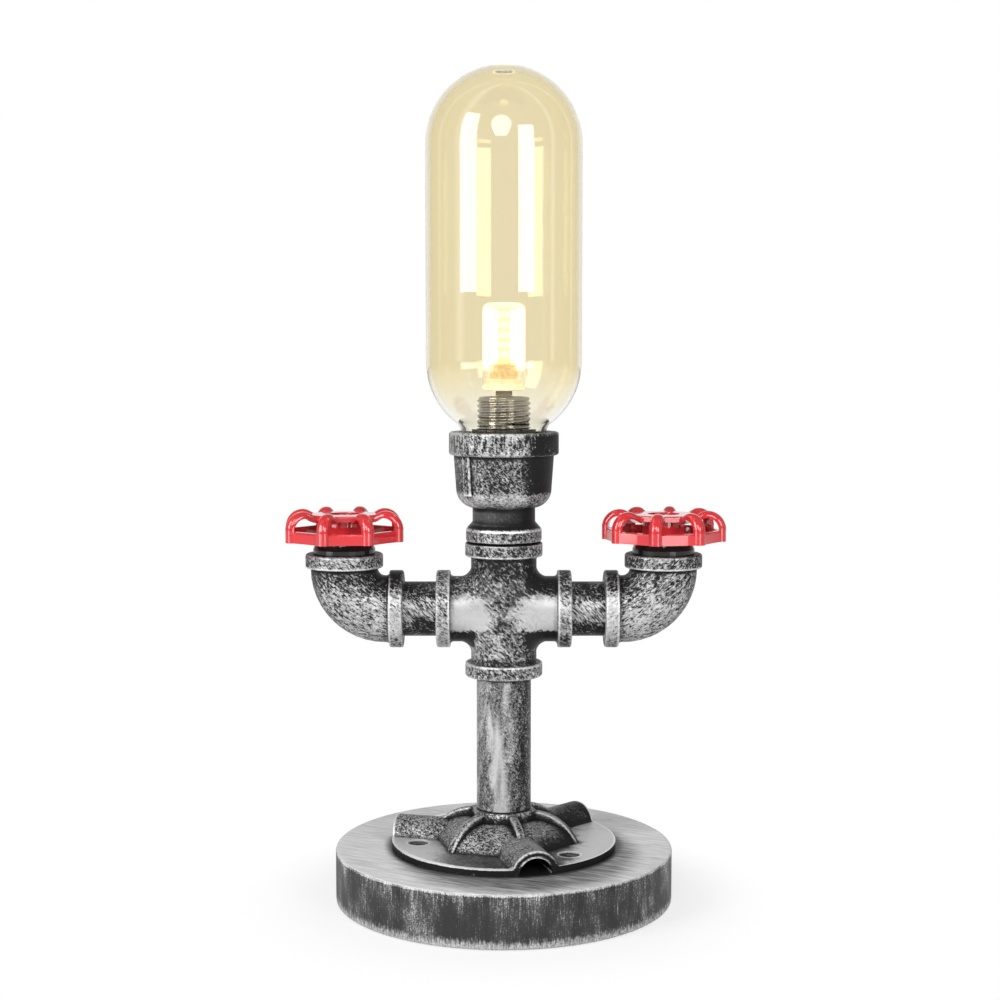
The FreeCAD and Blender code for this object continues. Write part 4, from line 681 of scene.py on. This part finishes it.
def bulb_board():
    """White circuit board that shines yellow between the chips, white at its sides and amber at the
    bottom."""
    p = Paint("led_board_white")
    uneven = p.noise(2 * MM, detail=2)
    sideways = turned_sideways(p)
    low = amber_end(p)
    glow = p.mix(sideways, (1.0, 0.84, 0.30, 1), (1.0, 0.95, 0.82, 1))
    glow = p.mix(low, glow, (1.0, 0.68, 0.30, 1))
    ground = p.mix(low, (0.85, 0.80, 0.62, 1), (0.42, 0.31, 0.18, 1))
    upper_strength = p.blend(sideways, p.plus(1.0, uneven), 5.0)
    return p.surface(Base_Color=ground, Roughness=0.4, Emission_Color=glow,
                     Emission_Strength=p.blend(low, upper_strength, p.total(0.6, (uneven, 1.2))),
                     Normal=p.bump(uneven, 0.03 * MM, 0.3))


def bulb_foot():
    """White plastic with fine ribs round it, and a grey-brown key under it; above the key, a painted glow of
    the bulb's light.
    """
    p = Paint("white_plastic")
    foot_height = foot_high.z - foot_low.z
    key = p.remap(p.z, foot_low.z + 0.72 * foot_height, foot_low.z + 0.70 * foot_height)
    ribs = p.math("SINE", p.times(p.z, 2 * math.pi / (1.3 * MM)))
    stain = p.noise(1.5 * MM, detail=2)
    colour = p.mix(key, (0.92, 0.88, 0.74, 1), (0.20, 0.17, 0.13, 1))
    # painted glow of the bulb's light on the white plastic above the key
    return p.surface(Base_Color=p.mix(p.plus(0.05, stain), colour, (0.34, 0.26, 0.13, 1)), Roughness=0.4,
                     Emission_Color=(1.0, 0.90, 0.62, 1), Emission_Strength=p.times(p.inverse(key), 0.45),
                     Normal=p.bump(ribs, 0.2 * MM, 0.6))


def make_materials():
    """Each material, put on the nodes that wear it."""
    dress(elbow_iron(), "left_elbow", "right_elbow")
    dress(cross_iron(), "pipe_cross")
    dress(socket_iron(), "reducing_socket")
    dress(flange_iron(), "floor_flange")
    dress(pipe_iron(), "riser_pipe", "close_nipple")
    dress(nipple_iron(), "left_nipple", "right_nipple")
    dress(painted_base(), "base_disc")
    dress(felt(), "felt_pad")
    dress(plain("raw_hardboard", (0.30, 0.20, 0.12, 1), 0.75, grain=0.8 * MM), "base_cover")
    red = enamel("red_enamel", (0.53, 0.020, 0.026, 1), (0.24, 0.007, 0.010, 1), 1.0)
    dress(red, "left_handwheel", "right_handwheel")
    black = enamel("black_enamel", (0.010, 0.010, 0.010, 1), (0.004, 0.004, 0.004, 1), 0.6)
    dress(black, "left_plug", "right_plug")
    steel = plain("turned_steel", (0.55, 0.55, 0.54, 1), 0.3, metallic=1.0)
    dress(steel, *(side + piece for side in ("left_", "right_")
                   for piece in ("spindle", "spindle_clip", "wheel_washer", "wheel_screw")))
    dress(steel, "cover_screws", "terminal_screws", "holder_plate", "lower_ring_nut", "bulb_pins")
    dress(plain("black_oxide", (0.02, 0.02, 0.02, 1), 0.4, metallic=0.5), "flange_screws")
    dress(plain("red_fibre", (0.35, 0.10, 0.06, 1), 0.7), "left_friction_washer", "right_friction_washer")
    dress(plain("glazed_ceramic", (0.88, 0.86, 0.80, 1), 0.2), "holder_insert")
    dress(plain("brass_tube", (0.80, 0.58, 0.25, 1), 0.3, metallic=1.0), "terminal_tubes", "holder_contacts")
    dress(plain("black_plastic", (0.02, 0.02, 0.02, 1), 0.45), "cord_bush", "shade_ring")
    dress(plain("terminal_plastic", (0.75, 0.76, 0.74, 1), 0.35), "terminal_block")
    dress(plain("brown_silicone", (0.16, 0.07, 0.035, 1), 0.45), "live_lead")
    dress(plain("blue_silicone", (0.03, 0.09, 0.35, 1), 0.45), "neutral_lead")
    dress(plain("woven_sleeve", (0.80, 0.78, 0.72, 1), 0.8, relief=0.1 * MM), "lead_sleeve")
    dress(plain("silicone_ring", (0.75, 0.72, 0.66, 1), 0.4), "shade_gasket")
    dress(bulb_foot(), "bulb_base")
    dress(bulb_board(), "led_board")
    dress(lit_chip(), "led_chips")
    dress(tinted_glass(), "glass_shade")
    dress(clear_cover(), "bulb_cover")


# ---- threaded lampholder sleeve -------------------------------------------------------------

THREAD_PITCH = 2.0 * MM
THREAD_DEPTH = 0.75 * MM
THREAD_LEAD_IN = 1.2 * MM
ROWS_IN_A_TURN = 12
SLEEVE_WALL = 1.2 * MM
SLEEVE_STEPS = 96


def thread_rise(turns):
    """0 in the root and 1 on the rounded crest, for a height in turns of the thread."""
    return 0.5 - 0.5 * math.cos(2 * math.pi * turns)


def ring_point(radius, step, z):
    """Point of a ring round the axis."""
    angle = 2 * math.pi * step / SLEEVE_STEPS
    return (radius * math.cos(angle), radius * math.sin(angle), z)


def make_sleeve():
    """Tube with a rolled thread outside and a smooth bore; it stands for the plain CAD sleeve."""
    low, high = sleeve_low.z, sleeve_high.z
    crest = sleeve_high.x
    bore = crest - SLEEVE_WALL
    rows = ROWS_IN_A_TURN * round((high - low) / THREAD_PITCH)

    def thread_radius(z, step):
        """Radius of the thread, which fades in from both ends."""
        fade = min(1.0, (z - low) / THREAD_LEAD_IN, (high - z) / THREAD_LEAD_IN)
        rise = thread_rise((z - low) / THREAD_PITCH - step / SLEEVE_STEPS)
        return crest - THREAD_DEPTH * (1 - rise * fade)

    # rings of points up the outside and down the bore, each joined to the next and the last to the first
    heights = [low + (high - low) * row / rows for row in range(rows + 1)]
    steps = range(SLEEVE_STEPS)
    points = [ring_point(thread_radius(z, step), step, z) for z in heights for step in steps]
    points += [ring_point(bore, step, z) for z in (high, low) for step in steps]
    rings = len(points) // SLEEVE_STEPS

    def at(ring, step):
        return ring % rings * SLEEVE_STEPS + step % SLEEVE_STEPS

    faces = [(at(ring, step), at(ring, step + 1), at(ring + 1, step + 1), at(ring + 1, step))
             for step in steps for ring in range(rings)]
    mesh = bpy.data.meshes.new("threaded_sleeve")
    mesh.from_pydata(points, [], faces)
    mesh.polygons.foreach_set("use_smooth", [True] * len(faces))
    sleeve = bpy.data.objects.new("threaded_sleeve", mesh)
    bpy.context.scene.collection.objects.link(sleeve)
    mesh.materials.append(plain("nickel", (0.31, 0.295, 0.275, 1), 0.13, metallic=1.0))
    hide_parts("holder_sleeve")
    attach(sleeve, "lamp_frame")


# ---- light, floor and background ------------------------------------------------------------

AMBIENT = 0.38
# what gloss mirrors: a dim room, a white backdrop that begins and is full where the direction's Y
# reaches these values, and faint upright bands, each with two azimuths in degrees (0 in front and
# positive to the right), a blur and a strength
ROOM_BRIGHTNESS = 0.22
BACKDROP_START = 0.70
BACKDROP_FULL = 0.95
ROOM_BANDS = ((-111.0, -105.0, 2.0, 0.6), (-75.0, -60.0, 5.0, 1.2), (73.0, 79.0, 2.0, 1.5),
              (112.5, 118.5, 2.0, 0.7))

# upright rectangular lights: the angles in degrees that they span, seen from the axis at LIT_HEIGHT
SOFTBOX_DISTANCE = 1.2
LIT_HEIGHT = 0.265
LEFT_AZIMUTH = (40.0, 66.0)
RIGHT_AZIMUTH = (21.0, 44.0)
LEFT_ELEVATION = (0.5, 38.0)
RIGHT_ELEVATION = (0.5, 23.0)
STRIP_ELEVATION = (-12.2, -6.5)
SOFTBOX_RADIANCE = 7.8
STRIP_RADIANCE = 4.0

# round light: where it stands and the angle that it spans, seen from its aim under the glass's top
UMBRELLA_DISTANCE = 1.3
UMBRELLA_AZIMUTH = -4.0
UMBRELLA_ELEVATION = 22.0
UMBRELLA_ANGLE = 28.0
UMBRELLA_RADIANCE = 6.0
UMBRELLA_AIM_DEPTH = 25 * MM

FLOOR_REACH = 4.0
# distances from the axis between which the floor dims in mirrors
FLOOR_DIM_START = 0.2
FLOOR_DIM_END = 3.0
# distances from the axis between which the shadow fades out, and the white share at the first
SHADOW_START = 0.066
SHADOW_END = 0.11
SHADOW_WHITE = 0.70


def hide_behind_glass(light_data):
    """Keeps a light out of what is seen straight through the glass; its reflections stay."""
    light_data.use_nodes = True
    n = Nodes(light_data.node_tree)
    ray = n.node("ShaderNodeLightPath").outputs
    straight = n.math("LESS_THAN", n.plus(ray["Glossy Depth"], ray["Diffuse Depth"]), 0.5)
    through = n.math("GREATER_THAN", ray["Transmission Depth"], 0.5)
    strength = n.inverse(n.times(straight, through))
    emission = n.node("ShaderNodeEmission", {"Strength": strength}).outputs["Emission"]
    out = n.node("ShaderNodeOutputLight")
    n.tree.links.new(emission, out.inputs["Surface"])


def place_light(name, data, place, target):
    """Light that is aimed at a target, and isn't seen straight through the glass."""
    hide_behind_glass(data)
    light = bpy.data.objects.new(name, data)
    light.location = place
    light.rotation_euler = (target - place).to_track_quat("-Z", "Y").to_euler()
    bpy.context.scene.collection.objects.link(light)


def softbox(name, side, azimuths, elevations, radiance):
    """Upright rectangular light on the left (side -1) or right (1) that spans the given angles."""
    middle = math.radians(sum(azimuths) / 2)
    half = math.radians(azimuths[1] - azimuths[0]) / 2
    low, high = (SOFTBOX_DISTANCE * math.tan(math.radians(e)) for e in elevations)
    width = 2 * SOFTBOX_DISTANCE * math.tan(half)
    data = bpy.data.lights.new(name, "AREA")
    data.shape = "RECTANGLE"
    data.size = width
    data.size_y = high - low
    data.energy = radiance * math.pi * width * (high - low)
    place = Vector((side * SOFTBOX_DISTANCE * math.sin(middle), -SOFTBOX_DISTANCE * math.cos(middle),
                    LIT_HEIGHT + (low + high) / 2))
    place_light(name, data, place, Vector((0, 0, place.z)))


def umbrella():
    """Round light above and behind the camera, aimed at the upper end of the glass."""
    data = bpy.data.lights.new("umbrella", "AREA")
    data.shape = "DISK"
    data.size = 2 * UMBRELLA_DISTANCE * math.tan(math.radians(UMBRELLA_ANGLE / 2))
    data.energy = UMBRELLA_RADIANCE * math.pi * math.pi * data.size ** 2 / 4
    rise = math.radians(UMBRELLA_ELEVATION)
    turn = math.radians(UMBRELLA_AZIMUTH)
    away = UMBRELLA_DISTANCE * math.cos(rise)
    aim_height = shade_high.z - UMBRELLA_AIM_DEPTH
    place = Vector((away * math.sin(turn), -away * math.cos(turn),
                    aim_height + UMBRELLA_DISTANCE * math.sin(rise)))
    place_light("umbrella", data, place, Vector((0, 0, aim_height)))


def make_lights():
    """Two softboxes, a low strip under each that draws highlights on upright gloss, and an umbrella."""
    softbox("left_strip", -1, LEFT_AZIMUTH, STRIP_ELEVATION, STRIP_RADIANCE)
    softbox("right_strip", 1, RIGHT_AZIMUTH, STRIP_ELEVATION, STRIP_RADIANCE)
    softbox("left_softbox", -1, LEFT_AZIMUTH, LEFT_ELEVATION, SOFTBOX_RADIANCE)
    softbox("right_softbox", 1, RIGHT_AZIMUTH, RIGHT_ELEVATION, SOFTBOX_RADIANCE)
    umbrella()


def make_world():
    """White for the camera and through glass; in mirrors, a white backdrop behind and a dim room."""
    world = bpy.data.worlds.new("studio")
    world.use_nodes = True
    bpy.context.scene.world = world
    n = Nodes(world.node_tree)
    ray = n.node("ShaderNodeLightPath").outputs
    direct = n.larger(ray["Is Camera Ray"], ray["Is Transmission Ray"])
    right, behind, _ = n.parts_of(n.node("ShaderNodeTexCoord").outputs["Generated"])
    azimuth = n.math("ARCTAN2", right, n.times(behind, -1.0))
    bands = n.plus(*(n.times(n.window(azimuth, *(math.radians(a) for a in band[:3])), band[3])
                     for band in ROOM_BANDS))
    room = n.plus(n.remap(behind, BACKDROP_START, BACKDROP_FULL, ROOM_BRIGHTNESS, 1.0), bands)
    mirrored = n.times(ray["Is Glossy Ray"], room)
    lit = n.times(n.inverse(n.larger(direct, ray["Is Glossy Ray"])), AMBIENT)
    strength = n.plus(lit, n.larger(direct, mirrored))
    background = n.node("ShaderNodeBackground", {"Color": (1, 1, 1, 1), "Strength": strength})
    out = n.node("ShaderNodeOutputWorld")
    n.tree.links.new(background.outputs["Background"], out.inputs["Surface"])


def make_floor():
    """White floor, dimmer far away in mirrors; near the base, part of it is paint that takes a shadow."""
    reach = FLOOR_REACH
    mesh = bpy.data.meshes.new("floor")
    mesh.from_pydata([(-reach, -reach, 0), (reach, -reach, 0), (reach, reach, 0), (-reach, reach, 0)], [],
                     [(0, 1, 2, 3)])
    floor = bpy.data.objects.new("floor", mesh)
    bpy.context.scene.collection.objects.link(floor)
    p = Paint("pale_floor")
    paint = p.node("ShaderNodeBsdfDiffuse", {"Color": grey(0.90)}).outputs["BSDF"]
    ray = p.node("ShaderNodeLightPath").outputs
    mirrored = p.math("SUBTRACT", ray["Is Glossy Ray"], ray["Is Transmission Ray"], clamp=True)
    distance = p.from_axis()
    dimming = p.times(mirrored, p.remap(distance, FLOOR_DIM_START, FLOOR_DIM_END, 0.0, 1.0 - ROOM_BRIGHTNESS))
    white = p.node("ShaderNodeEmission", {"Color": (1, 1, 1, 1), "Strength": p.inverse(dimming)})
    share = p.times(p.remap(distance, SHADOW_START, SHADOW_END, SHADOW_WHITE, 1.0), p.seen_directly())
    mixed = p.node("ShaderNodeMixShader", {0: share, 1: paint, 2: white.outputs["Emission"]})
    out = p.node("ShaderNodeOutputMaterial")
    p.tree.links.new(mixed.outputs["Shader"], out.inputs["Surface"])
    mesh.materials.append(p.material)


# ---- all of it ------------------------------------------------------------------------------

make_camera()
make_world()
make_floor()
make_lights()
make_materials()
make_sleeve()
bpy.context.scene.view_settings.view_transform = "Standard"
